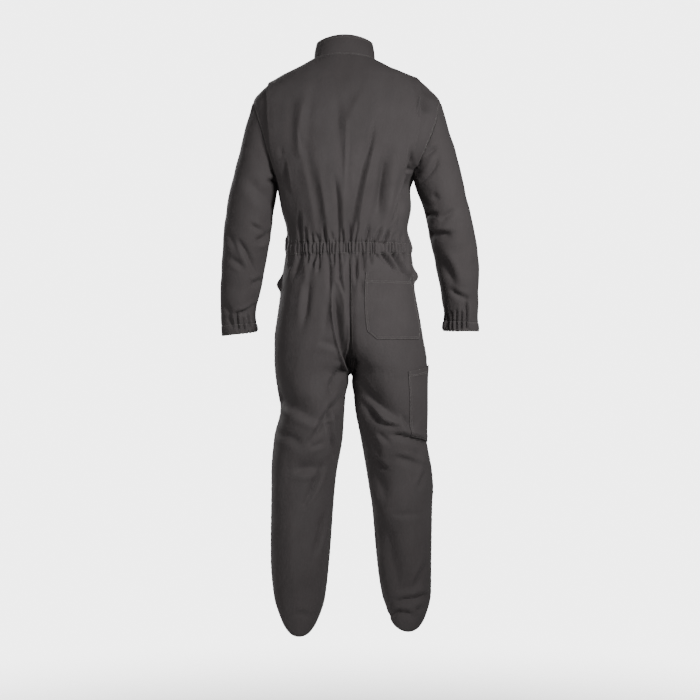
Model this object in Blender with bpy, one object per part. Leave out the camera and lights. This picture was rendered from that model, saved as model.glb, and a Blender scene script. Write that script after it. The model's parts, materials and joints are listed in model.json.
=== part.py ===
"""A work boiler suit, hollow as it hangs when worn, built from its cut and sewn pieces.

Units are metres. +Z is up and the garment faces -Y. The origin is the middle of the
shoulder line, at the height of the neck's sides. Left and right are the wearer's, so
the left side is at +X.

One smooth form carries the whole body. A point on it is found from a side, a drop (the
distance down the side from the neck) and an angle round that side: zero at the side
seam, positive towards the back and negative towards the front. Each panel is a wall on
a range of drops and angles, so that neighbours meet along their seams.
"""

import math

import bmesh
import bpy
import numpy as np

# Cloth and seams
CLOTH = 0.0015
SEAM_GAP = 0.0003
EDGE = SEAM_GAP / 2
LAYER_GAP = 0.0005
LEFT, RIGHT = 1, -1

# Shape of the cross-sections: how far their diagonals bulge
TRUNK_SQUARE = 0.05
LEG_SQUARE = 0.02

# Drops of the seams, down the side from the neck
NECK_DROP = 0.0
SHOULDER_DROP = 0.200
PLEAT_TOP_DROP = 0.104
ARMPIT_DROP = 0.435
BAND_TOP_DROP = 0.592
WAIST_DROP = 0.608
BAND_FOOT_DROP = 0.624
CROTCH_DROP = 0.943
HEM_DROP = 1.585
ZIP_FOOT_DROP = 0.780

# Armhole: the angle that it takes out of the body at its widest, behind and in front
ARM_BACK_ANGLE = 0.51
ARM_FRONT_ANGLE = 0.47
ARM_STEPS = 8

# Folds are set out on the back elevation, drawn from this far away at this height
VIEW_DISTANCE = 5.0
VIEW_HEIGHT = -0.783

# Action pleats: the centre back stands over the side panel
PLEAT_LIFT = 0.0036
PLEAT_RISE_LENGTH = 0.030
PLEAT_FADE = 0.045
PLEAT_UNDERLAY = 0.014
UNDERLAY_SINK = 0.0010

# Gathers on the two edges of the waistband, and its own ruffles
GATHER_DEPTH = 0.0040
GATHER_UP = 0.050
GATHER_DOWN = 0.060
RUFFLES = 38
RUFFLE_DEPTH = 0.0014
BAND_LIFT = 0.0016

# Cuff casings
CUFF_TOP = 0.965
CUFF_GATHERS = 10
CUFF_GATHER_DEPTH = 0.0022
CUFF_PLAIN_COLUMNS = 8
SLEEVE_GATHER_DEPTH = 0.003
ARMHOLE_FADE = 0.30
ARMHOLE_START = 0.0015

# Side pocket mouths: the front edge bows out between these drops
MOUTH_TOP_DROP = 0.636
MOUTH_FOOT_DROP = 0.716
MOUTH_GAPE = 0.0120
MOUTH_REACH = 0.20
SIDE_BULGE = 0.0060
SIDE_BULGE_DROP = 0.582
SIDE_BULGE_LENGTH = 0.022
POCKET_INSET = 0.0017

# Zip
ZIP_HALF_GAP = 0.0040
TAPE_INNER = 0.0032
TAPE_OUTER = 0.0165
TAPE_THICK = 0.0008
TAPE_INSET = 0.0006
CHAIN_HALF = 0.0026
CHAIN_FRONT = 0.0002
CHAIN_BACK = 0.0030
SLIDER_AT = 0.84
CHAIN_TOP = 0.88

BODY_COLUMNS = (
    "drop z outer_left outer_right mid_x split gap_left gap_right back front mid_y rise_back rise_front tilt lift_right"
)
BODY_ROWS = [
    # drop, z, outer l/r, mid x, split, gap l/r, back, front, mid y, rise b/f, tilt, lift r
    (0.000, 0.000, 0.0925, 0.0735, 0.0095, 0, 0, 0, 0.068, 0.072, -0.008, 0.0085, -0.045, 0, 0),
    (0.047, -0.020, 0.131, 0.113, 0.0085, 0, 0, 0, 0.080, 0.084, -0.006, 0.006, -0.034, 0, 0),
    (0.110, -0.050, 0.189, 0.184, 0.007, 0, 0, 0, 0.095, 0.098, -0.002, 0.003, -0.019, 0, 0),
    (0.156, -0.080, 0.228, 0.220, 0.006, 0, 0, 0, 0.106, 0.106, 0, 0.001, -0.008, 0, 0),
    (0.200, -0.115, 0.255, 0.249, 0.0055, 0, 0, 0, 0.114, 0.112, 0, 0, 0, 0, 0),
    (0.245, -0.160, 0.258, 0.256, 0.005, 0, 0, 0, 0.124, 0.119, 0, 0, 0, 0, 0),
    (0.285, -0.200, 0.254, 0.250, 0.0045, 0, 0, 0, 0.131, 0.125, 0, 0, 0, 0, 0.001),
    (0.338, -0.250, 0.238, 0.230, 0.004, 0, 0, 0, 0.138, 0.130, 0, 0, 0, 0, 0.006),
    (0.393, -0.300, 0.214, 0.202, 0.0035, 0, 0, 0, 0.142, 0.132, 0, 0, 0, 0, 0.015),
    (0.435, -0.340, 0.192, 0.1796, 0.003, 0, 0, 0, 0.142, 0.132, 0, 0, 0, 0, 0.022),
    (0.468, -0.373, 0.185, 0.1675, 0.002, 0, 0, 0, 0.139, 0.130, 0, 0, 0, 0, 0.018),
    (0.500, -0.405, 0.179, 0.170, 0.001, 0, 0, 0, 0.136, 0.127, 0, 0, 0, 0, 0.011),
    (0.555, -0.460, 0.165, 0.160, -0.001, 0, 0, 0, 0.127, 0.120, 0, 0, 0, 0, 0.001),
    (0.592, -0.497, 0.163, 0.166, -0.002, 0, 0, 0, 0.122, 0.117, 0, 0, 0, 0, 0),
    (0.624, -0.529, 0.168, 0.171, -0.003, 0, 0, 0, 0.124, 0.119, 0, 0, 0, 0, 0),
    (0.708, -0.613, 0.179, 0.1785, -0.005, 0.06, 0, 0, 0.141, 0.124, 0, 0, 0, 0, 0),
    (0.785, -0.690, 0.190, 0.192, -0.006, 0.18, 0, 0, 0.150, 0.124, 0, 0, 0, 0, 0),
    (0.851, -0.756, 0.198, 0.203, -0.0065, 0.36, 0, 0, 0.148, 0.123, 0, 0, 0, 0, 0),
    (0.905, -0.810, 0.198, 0.212, -0.0068, 0.66, 0, 0, 0.141, 0.121, 0, 0, 0, 0, 0),
    (0.943, -0.848, 0.1955, 0.213, -0.0068, 1, 0, 0, 0.134, 0.120, 0, 0, 0, 0, 0),
    (1.000, -0.905, 0.187, 0.213, -0.0068, 1, 0.0130, 0.0094, 0.129, 0.116, 0.002, 0, 0, 0, 0),
    (1.035, -0.940, 0.181, 0.213, -0.0068, 1, 0.0158, 0.0126, 0.126, 0.113, 0.002, 0, 0, 0, 0),
    (1.110, -1.015, 0.198, 0.2115, -0.0068, 1, 0.0205, 0.0270, 0.118, 0.106, 0.002, 0, 0, 0, 0),
    (1.210, -1.115, 0.206, 0.2265, -0.0068, 1, 0.0375, 0.0445, 0.104, 0.096, 0.004, 0, 0, 0, 0),
    (1.250, -1.155, 0.206, 0.2290, -0.0068, 1, 0.0420, 0.0510, 0.100, 0.092, 0.007, 0, 0, 0, 0),
    (1.292, -1.197, 0.2065, 0.2265, -0.0068, 1, 0.0455, 0.0575, 0.097, 0.088, 0.009, 0, 0, 0, 0),
    (1.429, -1.334, 0.2075, 0.2240, -0.0068, 1, 0.0555, 0.0700, 0.092, 0.085, 0.013, 0, 0, 0.12, 0),
    (1.540, -1.4445, 0.198, 0.2225, -0.0068, 1, 0.0685, 0.0860, 0.088, 0.086, 0.015, 0, 0, 0.40, 0.006),
    (1.585, -1.490, 0.178, 0.210, -0.0068, 1, 0.0870, 0.1010, 0.085, 0.085, 0.016, 0, 0, 0.62, 0.013),
]

# Action pleat edges: how far each stands from the middle plane, by height
PLEAT_COLUMNS = "depth_below left right"
PLEAT_ROWS = [
    (0.057, 0.2085, 0.194),
    (0.167, 0.205, 0.184),
    (0.2565, 0.195, 0.167),
    (0.332, 0.180, 0.151),
    (0.416, 0.160, 0.130),
    (0.486, 0.154, 0.097),
    (0.530, 0.152, 0.094),
]

# Sleeves, armhole (0) to cuff (1): outer and inner lines in the XZ plane, half depths in Y
SLEEVE_COLUMNS = "along outer_x outer_z inner_x inner_z back front mid_y"
SLEEVE_ROWS = {
    LEFT: [
        (0.00, 0.254, -0.115, 0.192, -0.340, 0.064, 0.060, 0.000),
        (0.12, 0.278, -0.190, 0.194, -0.366, 0.072, 0.070, 0.000),
        (0.28, 0.302, -0.285, 0.203, -0.424, 0.078, 0.076, -0.002),
        (0.45, 0.327, -0.390, 0.2105, -0.486, 0.075, 0.073, -0.006),
        (0.60, 0.338, -0.487, 0.220, -0.535, 0.069, 0.068, -0.012),
        (0.75, 0.344, -0.580, 0.234, -0.607, 0.062, 0.061, -0.020),
        (0.88, 0.347, -0.660, 0.248, -0.668, 0.054, 0.054, -0.030),
        (0.95, 0.345, -0.700, 0.2530, -0.697, 0.048, 0.048, -0.036),
        (1.00, 0.340, -0.740, 0.246, -0.727, 0.046, 0.046, -0.040),
    ],
    RIGHT: [
        (0.00, 0.249, -0.115, 0.1796, -0.318, 0.064, 0.060, 0.000),
        (0.12, 0.272, -0.185, 0.186, -0.354, 0.072, 0.070, 0.000),
        (0.28, 0.301, -0.285, 0.205, -0.400, 0.078, 0.076, -0.002),
        (0.45, 0.325, -0.390, 0.217, -0.462, 0.075, 0.073, -0.006),
        (0.60, 0.346, -0.480, 0.231, -0.522, 0.069, 0.068, -0.012),
        (0.75, 0.3555, -0.570, 0.2455, -0.592, 0.062, 0.061, -0.020),
        (0.88, 0.354, -0.650, 0.2570, -0.655, 0.054, 0.054, -0.030),
        (0.95, 0.3535, -0.695, 0.2620, -0.688, 0.048, 0.048, -0.036),
        (1.00, 0.3535, -0.726, 0.2570, -0.722, 0.046, 0.046, -0.040),
    ],
}

# Collar: its top edge
COLLAR_MID_X = 0.0090
COLLAR_HALF_WIDTH = 0.0755
COLLAR_BACK = 0.056
COLLAR_FRONT = 0.066
COLLAR_MID_Y = -0.010
COLLAR_SIDE_Z = 0.047
COLLAR_RISE_BACK = 0.0152
COLLAR_RISE_FRONT = -0.038

# Folds, in millimetres on the elevation: x0 z0 x1 z1 (its ends), half width, height
BODY_FOLDS_BACK = [
    (130, -154, 127, -262, 14, -3),
    (86, -243, 76, -470, 14, -5),
    (39, -297, 27, -480, 12, -4),
    (3, -189, 0, -480, 12, -4),
    (-49, -262, -11, -476, 13, -5),
    (-103, -262, -80, -420, 14, -4),
    (-49, -63, 3, -154, 18, 2),
    (35, -688, 5, -790, 12, -6),
    (146, -915, 73, -972, 16, -8),
    (40, -894, 63, -969, 14, -5),
    (63, -969, 98, -1022, 14, -7),
    (98, -1022, 166, -1092, 15, -8),
    (184, -1015, 128, -1045, 16, -7),
    (166, -1089, 63, -1077, 18, -9),
    (63, -1092, 116, -1196, 12, -6),
    (60, -1245, 90, -1336, 14, -4),
    (-31, -925, -75, -977, 14, -6),
    (-75, -977, -154, -993, 14, -7),
    (-124, -945, -178, -986, 14, -5),
    (-113, -1013, -205, -1031, 13, -9),
    (-70, -1085, -104, -1104, 14, -6),
    (-76, -1110, -102, -1169, 12, -5),
    (-213, -1134, -189, -1169, 12, -4),
    (-113, -1364, -170, -1430, 14, -6),
    (-211, -1377, -170, -1430, 12, -5),
    (-143, -1458, -208, -1450, 11, -5),
]
BODY_FOLDS_FRONT = [
    (95, -250, 70, -430, 15, -4),
    (-90, -230, -72, -420, 15, -4),
    (60, -560, 120, -640, 14, -4),
    (-60, -560, -115, -650, 14, -4),
    (50, -770, 130, -730, 16, -6),
    (-50, -775, -135, -735, 16, -6),
    (60, -870, 150, -850, 15, -5),
    (-65, -880, -160, -860, 15, -5),
    (60, -1060, 165, -1085, 16, -5),
    (-75, -1070, -185, -1050, 16, -5),
    (70, -1340, 180, -1370, 15, -5),
    (-105, -1350, -200, -1380, 15, -5),
]
SLEEVE_FOLDS_BACK = [
    (216, -327, 194, -321, 12, -5),
    (250, -489, 208, -470, 14, -6),
    (325, -464, 285, -509, 14, -5),
    (320, -529, 281, -559, 14, -5),
    (255, -606, 235, -583, 12, -5),
    (302, -674, 250, -666, 12, -5),
    (-194, -254, -248, -215, 13, -6),
    (-190, -310, -235, -289, 13, -5),
    (-205, -400, -255, -421, 13, -5),
    (-235, -478, -290, -470, 14, -5),
    (-270, -618, -324, -648, 13, -6),
]
SLEEVE_FOLDS_FRONT = [
    (215, -440, 300, -455, 15, -7),
    (225, -520, 315, -500, 15, -6),
    (240, -600, 320, -620, 14, -5),
    (-220, -430, -300, -450, 15, -7),
    (-235, -515, -325, -500, 15, -6),
    (-250, -610, -330, -630, 14, -5),
]

# Rows and columns of the panels
YOKE_DROPS = [0.175, 0.154, 0.134, 0.117, PLEAT_TOP_DROP, 0.070, 0.032, NECK_DROP]
BODICE_DROPS = [0.575, 0.555, 0.530, 0.500, 0.468]
SEAT_DROPS = [0.640, 0.657, 0.673, 0.693, 0.716, 0.745, 0.780, 0.815, 0.843, 0.875, 0.903, 0.925]
LEG_DROPS = [
    0.965, 0.995, 1.035, 1.072, 1.105, 1.140, 1.175, 1.210, 1.250, 1.292,
    1.340, 1.385, 1.429, 1.470, 1.510, 1.540, 1.563,
]
CENTRE_BACK_COLUMNS = 12
SIDE_BACK_COLUMNS = 4
FRONT_COLUMNS = 7
SLEEVE_ROWS_ALONG = 15
TROUSER_BACK_SHARES = {
    LEFT: [0, 0.09, 0.18, 0.26, 0.34, 0.42, 0.50, 0.58, 0.66, 0.74, 0.82, 0.91, 1],
    RIGHT: [0, 0.07, 0.135, 0.20, 0.27, 0.36, 0.45, 0.54, 0.63, 0.735, 0.84, 0.92, 1],
}
TROUSER_FRONT_SHARES = [0, 0.15, 0.30, 0.45, 0.60, 0.73, 0.83, 0.92, 1]
HIP_POCKET_DROPS = (0.673, 0.843)
HIP_POCKET_COLUMNS = (3, 10)
TOOL_POCKET_DROPS = (0.925, 1.105)
TOOL_POCKET_BACK_COLUMNS = 4
TOOL_POCKET_FRONT_COLUMNS = 3

# Finishes: colour, roughness, metallic
FINISHES = {
    "twill": ((0.066, 0.058, 0.053), 0.85, 0.0),
    "pocketing": ((0.020, 0.018, 0.017), 0.9, 0.0),
    "tape": ((0.045, 0.040, 0.037), 0.8, 0.0),
    "zip_teeth": ((0.030, 0.029, 0.028), 0.45, 0.0),
    "zip_metal": ((0.090, 0.088, 0.085), 0.35, 1.0),
}


def smooth_curve(xs, ys, at):
    """A monotone cubic through the points (xs, ys), read at the given places."""
    step = np.diff(xs)
    slope = np.diff(ys) / step
    tangent = np.zeros_like(ys)
    tangent[0] = slope[0]
    tangent[-1] = slope[-1]
    same = slope[:-1] * slope[1:] > 0
    near = (2 * step[1:] + step[:-1])[same]
    far = (step[1:] + 2 * step[:-1])[same]
    tangent[1:-1][same] = (near + far) / (near / slope[:-1][same] + far / slope[1:][same])
    at = np.clip(at, xs[0], xs[-1])
    i = np.clip(np.searchsorted(xs, at, side="right") - 1, 0, len(xs) - 2)
    t = (at - xs[i]) / step[i]
    start = (1 + 2 * t) * (1 - t) ** 2 * ys[i] + t * (1 - t) ** 2 * step[i] * tangent[i]
    end = t * t * (3 - 2 * t) * ys[i + 1] + t * t * (t - 1) * step[i] * tangent[i + 1]
    return start + end


class Table:
    """Rows of named columns, read as smooth curves along the first column."""

    def __init__(self, columns, rows):
        self.names = columns.split()
        self.rows = np.array(rows, float)

    def column(self, name):
        return self.rows[:, self.names.index(name)]

    def read(self, name, at):
        return smooth_curve(self.rows[:, 0], self.column(name), np.asarray(at, float))


BODY = Table(BODY_COLUMNS, BODY_ROWS)
PLEATS = Table(PLEAT_COLUMNS, PLEAT_ROWS)
SLEEVES = {side: Table(SLEEVE_COLUMNS, rows) for side, rows in SLEEVE_ROWS.items()}


def side_name(side):
    return "left" if side == LEFT else "right"


def smooth_step(t):
    t = np.clip(t, 0, 1)
    return t * t * (3 - 2 * t)


def unit(vectors):
    return vectors / np.maximum(np.linalg.norm(vectors, axis=-1, keepdims=True), 1e-12)


def stack(x, y, z):
    return np.stack(np.broadcast_arrays(x, y, z), axis=-1).astype(float)


# ---- the body form


def section(side, drop):
    """Centre and half width of one side's section at a drop, measured out from x = 0."""
    middle = side * BODY.read("mid_x", drop)
    split = BODY.read("split", drop)
    gap = BODY.read("gap_" + side_name(side), drop)
    half = (BODY.read("outer_" + side_name(side), drop) - middle - gap) / (1 + split)
    return middle, middle + gap + half * split, half


def angle_at(side, distance, drop):
    """The angle where the section is this far from the middle line, towards the back."""
    middle, centre, half = section(side, drop)
    return np.arccos(np.clip((middle + distance - centre) / half, -1, 1))


def smooth_body(side, angle, drop):
    """A point of the body form with no folds on it."""
    middle, centre, half = section(side, drop)
    split = BODY.read("split", drop)
    square = TRUNK_SQUARE * (1 - split) + LEG_SQUARE * split
    bulge = 1 + square * np.sin(2 * angle) ** 2
    depth = np.where(angle > 0, BODY.read("back", drop), BODY.read("front", drop))
    rise = np.where(angle > 0, BODY.read("rise_back", drop), BODY.read("rise_front", drop))
    reach = depth * np.sin(angle) * bulge
    x = centre + half * np.cos(angle) * bulge
    z = BODY.read("z", drop) + rise * np.sin(angle) ** 2 - BODY.read("tilt", drop) * reach
    if side == RIGHT:
        z = z + BODY.read("lift_right", drop) * (split + (1 - split) * np.cos(angle) ** 2)
    return stack(side * x, BODY.read("mid_y", drop) + reach, z)


def elevation(points):
    """Where points show on the back elevation, in X and Z."""
    scale = VIEW_DISTANCE / (VIEW_DISTANCE - points[..., 1])
    return points[..., 0] * scale, VIEW_HEIGHT + (points[..., 2] - VIEW_HEIGHT) * scale


def fold_height(points, folds):
    """How far a table of folds moves the cloth outwards at points."""
    x, z = elevation(points)
    height = np.zeros_like(x)
    for x0, z0, x1, z1, width, rise in np.array(folds, float) / 1000:
        along = ((x - x0) * (x1 - x0) + (z - z0) * (z1 - z0)) / ((x1 - x0) ** 2 + (z1 - z0) ** 2)
        along = np.clip(along, 0, 1)
        away = np.hypot(x - x0 - along * (x1 - x0), z - z0 - along * (z1 - z0))
        height = height + rise * np.exp(-((away / width) ** 2)) * (0.45 + 0.55 * np.sin(math.pi * along))
    return height


def mouth(drop):
    """How open the side pocket's mouth is at a drop, from 0 to 1."""
    share = np.clip((drop - MOUTH_TOP_DROP) / (MOUTH_FOOT_DROP - MOUTH_TOP_DROP), 0, 1)
    return np.sin(math.pi * share ** 1.8) ** 2


def body_relief(side, angle, drop, points):
    """Everything that stands out from or sinks into the smooth body form."""
    back = smooth_step(np.sin(angle) / 0.3) * fold_height(points, BODY_FOLDS_BACK)
    front = smooth_step(-np.sin(angle) / 0.3) * fold_height(points, BODY_FOLDS_FRONT)
    ahead = smooth_step(1 + angle / MOUTH_REACH) * (angle < 0)
    gape = MOUTH_GAPE * mouth(drop) * ahead
    bulge = SIDE_BULGE * np.exp(-(((drop - SIDE_BULGE_DROP) / SIDE_BULGE_LENGTH) ** 2))
    return back + front + gape + bulge * np.exp(-(((angle + 0.12) / 0.10) ** 2))


def body(side, angle, drop):
    """A point of the body's cloth, folds included, kept on its own side of the middle."""
    angle, drop = np.broadcast_arrays(np.asarray(angle, float), np.asarray(drop, float))
    points = smooth_body(side, angle, drop)
    step = 1e-4
    down = smooth_body(side, angle, drop + step) - smooth_body(side, angle, drop - step)
    round_it = smooth_body(side, angle + step, drop) - smooth_body(side, angle - step, drop)
    normal = side * unit(np.cross(down, round_it))
    return points + normal * body_relief(side, angle, drop, points)[..., None]


def normals(side, form, across, along):
    """Outward normals of a form, from points close by."""
    step = 2e-3
    down = form(side, across, along + step) - form(side, across, along - step)
    round_it = form(side, across + step, along) - form(side, across - step, along)
    return side * unit(np.cross(down, round_it))


def armhole_share(drop):
    return np.clip((drop - SHOULDER_DROP) / (ARMPIT_DROP - SHOULDER_DROP), 0, 1)


def armhole_angle(drop, widest):
    """How far round from the side the armhole cuts at a drop."""
    share = armhole_share(drop)
    return widest * 2 * np.sqrt(share * (1 - share))


def armhole_drops():
    """Drops of the armhole's sample points, armpit first."""
    turn = np.linspace(math.pi, 0, ARM_STEPS + 1)
    return SHOULDER_DROP + (ARMPIT_DROP - SHOULDER_DROP) * (1 - np.cos(turn)) / 2


def armhole(side, turn):
    """The armhole's edge: turn 0 is its top, and it runs down the back to the armpit."""
    share = (1 - np.cos(turn)) / 2
    drop = SHOULDER_DROP + (ARMPIT_DROP - SHOULDER_DROP) * share
    widest = np.where(np.sin(turn) > 0, ARM_BACK_ANGLE, ARM_FRONT_ANGLE)
    return body(side, widest * np.sin(turn), drop)


# ---- the sleeve form


def sleeve_ring(side, turn, along):
    table = SLEEVES[side]
    outer_x, outer_z = table.read("outer_x", along), table.read("outer_z", along)
    inner_x, inner_z = table.read("inner_x", along), table.read("inner_z", along)
    depth = np.where(np.sin(turn) > 0, table.read("back", along), table.read("front", along))
    across = np.cos(turn)
    x = (outer_x + inner_x) / 2 + across * (outer_x - inner_x) / 2
    z = (outer_z + inner_z) / 2 + across * (outer_z - inner_z) / 2
    return stack(side * x, table.read("mid_y", along) + depth * np.sin(turn), z)


def smooth_sleeve(side, turn, along):
    """The sleeve form with no folds: the armhole's own shape, fading into the rings."""
    fade = (1 - smooth_step(along / ARMHOLE_FADE))[..., None]
    start = np.zeros_like(along)
    return sleeve_ring(side, turn, along) + fade * (armhole(side, turn) - sleeve_ring(side, turn, start))


def sleeve(side, turn, along):
    turn, along = np.broadcast_arrays(np.asarray(turn, float), np.asarray(along, float))
    points = smooth_sleeve(side, turn, along)
    step = 1e-3
    down = smooth_sleeve(side, turn, along + step) - smooth_sleeve(side, turn, along - step)
    round_it = smooth_sleeve(side, turn + step, along) - smooth_sleeve(side, turn - step, along)
    normal = side * unit(np.cross(down, round_it))
    back = smooth_step(np.sin(turn) / 0.3) * fold_height(points, SLEEVE_FOLDS_BACK)
    front = smooth_step(-np.sin(turn) / 0.3) * fold_height(points, SLEEVE_FOLDS_FRONT)
    relief = (back + front) * smooth_step(along / 0.08)
    return points + normal * relief[..., None]


# ---- making solids


def finish(name):
    material = bpy.data.materials.get(name)
    if material is None:
        colour, roughness, metallic = FINISHES[name]
        material = bpy.data.materials.new(name)
        material.use_nodes = True
        shader = material.node_tree.nodes["Principled BSDF"]
        shader.inputs["Base Color"].default_value = (*colour, 1)
        shader.inputs["Roughness"].default_value = roughness
        shader.inputs["Metallic"].default_value = metallic
        material.diffuse_color = (*colour, 1)
    return material


def add_object(name, points, faces, finish_name):
    """One closed solid, with its faces turned outwards."""
    mesh = bpy.data.meshes.new(name)
    mesh.from_pydata([tuple(float(c) for c in p) for p in points], [], faces)
    work = bmesh.new()
    work.from_mesh(mesh)
    bmesh.ops.recalc_face_normals(work, faces=work.faces)
    work.to_mesh(mesh)
    work.free()
    mesh.materials.append(finish(finish_name))
    mesh.shade_smooth()
    mesh.set_sharp_from_angle(angle=math.radians(50))
    made = bpy.data.objects.new(name, mesh)
    bpy.context.scene.collection.objects.link(made)
    return made


def grid_faces(rows, columns, closed=False):
    """Triangles of a grid of points, two to a cell, all with the same diagonal."""
    faces = []
    for i in range(rows - 1):
        for j in range(columns if closed else columns - 1):
            k = (j + 1) % columns
            a, b = i * columns + j, (i + 1) * columns + j
            c, d = (i + 1) * columns + k, i * columns + k
            faces += [(a, b, c), (a, c, d)]
    return faces


def border(faces):
    """Directed edges that only one face has."""
    edges = {(f[i], f[(i + 1) % len(f)]) for f in faces for i in range(len(f))}
    return [(a, b) for a, b in edges if (b, a) not in edges]


def add_wall(name, outer, inner, faces, finish_name="twill"):
    """A cloth wall between two surfaces that share their faces."""
    count = len(outer)
    solid = list(faces)
    solid += [tuple(count + v for v in reversed(f)) for f in faces]
    for a, b in sorted(border(faces)):
        solid += [(b, a, count + a), (b, count + a, count + b)]
    used = sorted({v for f in solid for v in f})
    place = {v: i for i, v in enumerate(used)}
    points = np.concatenate([outer, inner])[used]
    return add_object(name, points, [tuple(place[v] for v in f) for f in solid], finish_name)


class Cloth:
    """A grid of outer points with their normals, which walls and patches are made from."""

    def __init__(self, points, normal, side=None, middle=None):
        self.points = points
        self.normal = normal
        self.side = side
        self.middle = middle

    def moved(self, distance):
        """The grid moved out along its normals, still on its own side of the middle."""
        points = self.points + self.normal * distance
        if self.middle is not None:
            points[..., 0] = self.side * np.maximum(self.side * points[..., 0], self.middle)
        return points

    def wall(self, name, level_rows=(), closed=False, base=0.0, thick=CLOTH, finish_name="twill"):
        rows, columns = self.points.shape[:2]
        outer, inner = self.moved(base), self.moved(base - thick)
        for row in level_rows:
            inner[row, :, 2] = outer[row, :, 2]
        faces = grid_faces(rows, columns, closed)
        return add_wall(name, outer.reshape(-1, 3), inner.reshape(-1, 3), faces, finish_name)


def join_columns(first, second):
    """Two grids side by side, the first one's last column next to the second's first."""
    return Cloth(
        np.concatenate([first.points, second.points], axis=1),
        np.concatenate([first.normal, second.normal], axis=1),
    )


def body_cloth(side, angles, drops, relief=0.0, split=False):
    """The body's cloth on a grid: a row of angles for each drop."""
    drops = np.asarray(drops, float)[:, None] + np.zeros_like(angles)
    points = body(side, angles, drops)
    normal = normals(side, body, angles, drops)
    points = points + normal * np.broadcast_to(relief, angles.shape)[..., None]
    if not split:
        return Cloth(points, normal)
    middle = side * BODY.read("mid_x", drops) + EDGE
    points[..., 0] = side * np.maximum(side * points[..., 0], middle)
    return Cloth(points, normal, side, middle)


def metres_round(side, angle, drop):
    """Length round the section for each radian."""
    step = 1e-3
    moved = smooth_body(side, angle + step, drop) - smooth_body(side, angle, drop)
    return np.linalg.norm(moved, axis=-1) / step


def spread(first, last, count):
    """Rows of evenly spaced angles from one edge to the other."""
    share = np.linspace(0, 1, count + 1)
    return first[:, None] * (1 - share) + last[:, None] * share


def inset(side, angle, drop, distance):
    return angle + distance / metres_round(side, angle, drop)


# ---- the bodice


def bodice_drops(first):
    """Rows from the waist to the neck: plain, armhole, then shoulder."""
    return np.array([first + EDGE, *BODICE_DROPS, *armhole_drops(), *YOKE_DROPS])


def pleat_angle(side, drop):
    """The angle of the action pleat's edge at a drop."""
    height = -smooth_body(side, np.zeros_like(drop) + 0.3, drop)[:, 2]
    distance = PLEATS.read(side_name(side), height)
    middle, centre, half = section(side, drop)
    angle = np.arccos(np.clip((distance - centre) / half, -1, 1))
    return np.where(drop < PLEAT_TOP_DROP + 0.001, 0.0, angle)


def pleat_rise(drop):
    """How far the pleat has opened at a drop, from 0 at the shoulder seam to 1."""
    return smooth_step((drop - PLEAT_TOP_DROP) / PLEAT_RISE_LENGTH)


def pleat_gap(side, angles, drops):
    """Distance round the body from the pleat's edge, towards the middle."""
    edge = pleat_angle(side, drops)
    at_edge = metres_round(side, edge, drops)[:, None]
    length = (at_edge + metres_round(side, angles, drops[:, None])) / 2
    return (angles - edge[:, None]) * length


def gather(columns, drops, start, reach, from_edge):
    """Alternate columns out and in at the waist, fading away from it and from the pleats."""
    wave = np.where(np.arange(columns) % 2 == 0, 1.0, -1.0)
    fade = np.exp(-((drops - start) / reach) ** 2)[:, None]
    return GATHER_DEPTH * wave[None, :] * fade * smooth_step(from_edge / 0.030)


def half_centre_back(side):
    drops = bodice_drops(BAND_TOP_DROP)
    drops[0] = BAND_TOP_DROP - SEAM_GAP
    edge = pleat_angle(side, drops)
    edge = np.maximum(edge, inset(side, np.zeros_like(drops), drops, EDGE))
    angles = spread(edge, np.full_like(drops, math.pi / 2), CENTRE_BACK_COLUMNS)
    away = pleat_gap(side, angles, drops)
    lift = PLEAT_LIFT * smooth_step(1 - away / PLEAT_FADE) * pleat_rise(drops)[:, None]
    from_edge = np.maximum(away - PLEAT_UNDERLAY, 0)
    waves = gather(CENTRE_BACK_COLUMNS + 1, drops, BAND_TOP_DROP, GATHER_UP, from_edge)
    return body_cloth(side, angles, drops, lift + waves)


def make_centre_back():
    right, left = half_centre_back(RIGHT), half_centre_back(LEFT)
    left.points, left.normal = left.points[:, ::-1], left.normal[:, ::-1]
    left.points, left.normal = left.points[:, 1:], left.normal[:, 1:]
    join_columns(right, left).wall("back_centre", level_rows=(0,))


def make_side_back(side):
    drops = bodice_drops(BAND_TOP_DROP)
    drops[0] = BAND_TOP_DROP - SEAM_GAP
    drops = drops[drops > PLEAT_TOP_DROP + 0.001]
    armhole_edge = armhole_angle(drops, ARM_BACK_ANGLE)
    first = inset(side, armhole_edge, drops, EDGE)
    edge = pleat_angle(side, drops)
    under = inset(side, edge, drops, PLEAT_UNDERLAY)
    angles = spread(first, np.maximum(under, first + 0.05), SIDE_BACK_COLUMNS)
    away_from_armhole = np.minimum(np.arange(SIDE_BACK_COLUMNS + 1), 1)
    sunk = PLEAT_LIFT * (pleat_rise(drops)[:, None] - 1) - UNDERLAY_SINK * away_from_armhole
    body_cloth(side, angles, drops, sunk).wall("back_side_" + side_name(side), level_rows=(0,))


def front_edge(side, drop, half_gap):
    """The angle of the front edge, which is negative."""
    return -angle_at(side, half_gap, drop)


def front_cloth(side):
    """A bodice front, from its front edge to its side seam and armhole."""
    drops = bodice_drops(BAND_TOP_DROP)
    drops = np.array([WAIST_DROP - SEAM_GAP, BAND_TOP_DROP, *drops[1:]])
    first = front_edge(side, drops, ZIP_HALF_GAP)
    last = inset(side, -armhole_angle(drops, ARM_FRONT_ANGLE), drops, -EDGE)
    return body_cloth(side, spread(first, last, FRONT_COLUMNS), drops)


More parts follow.
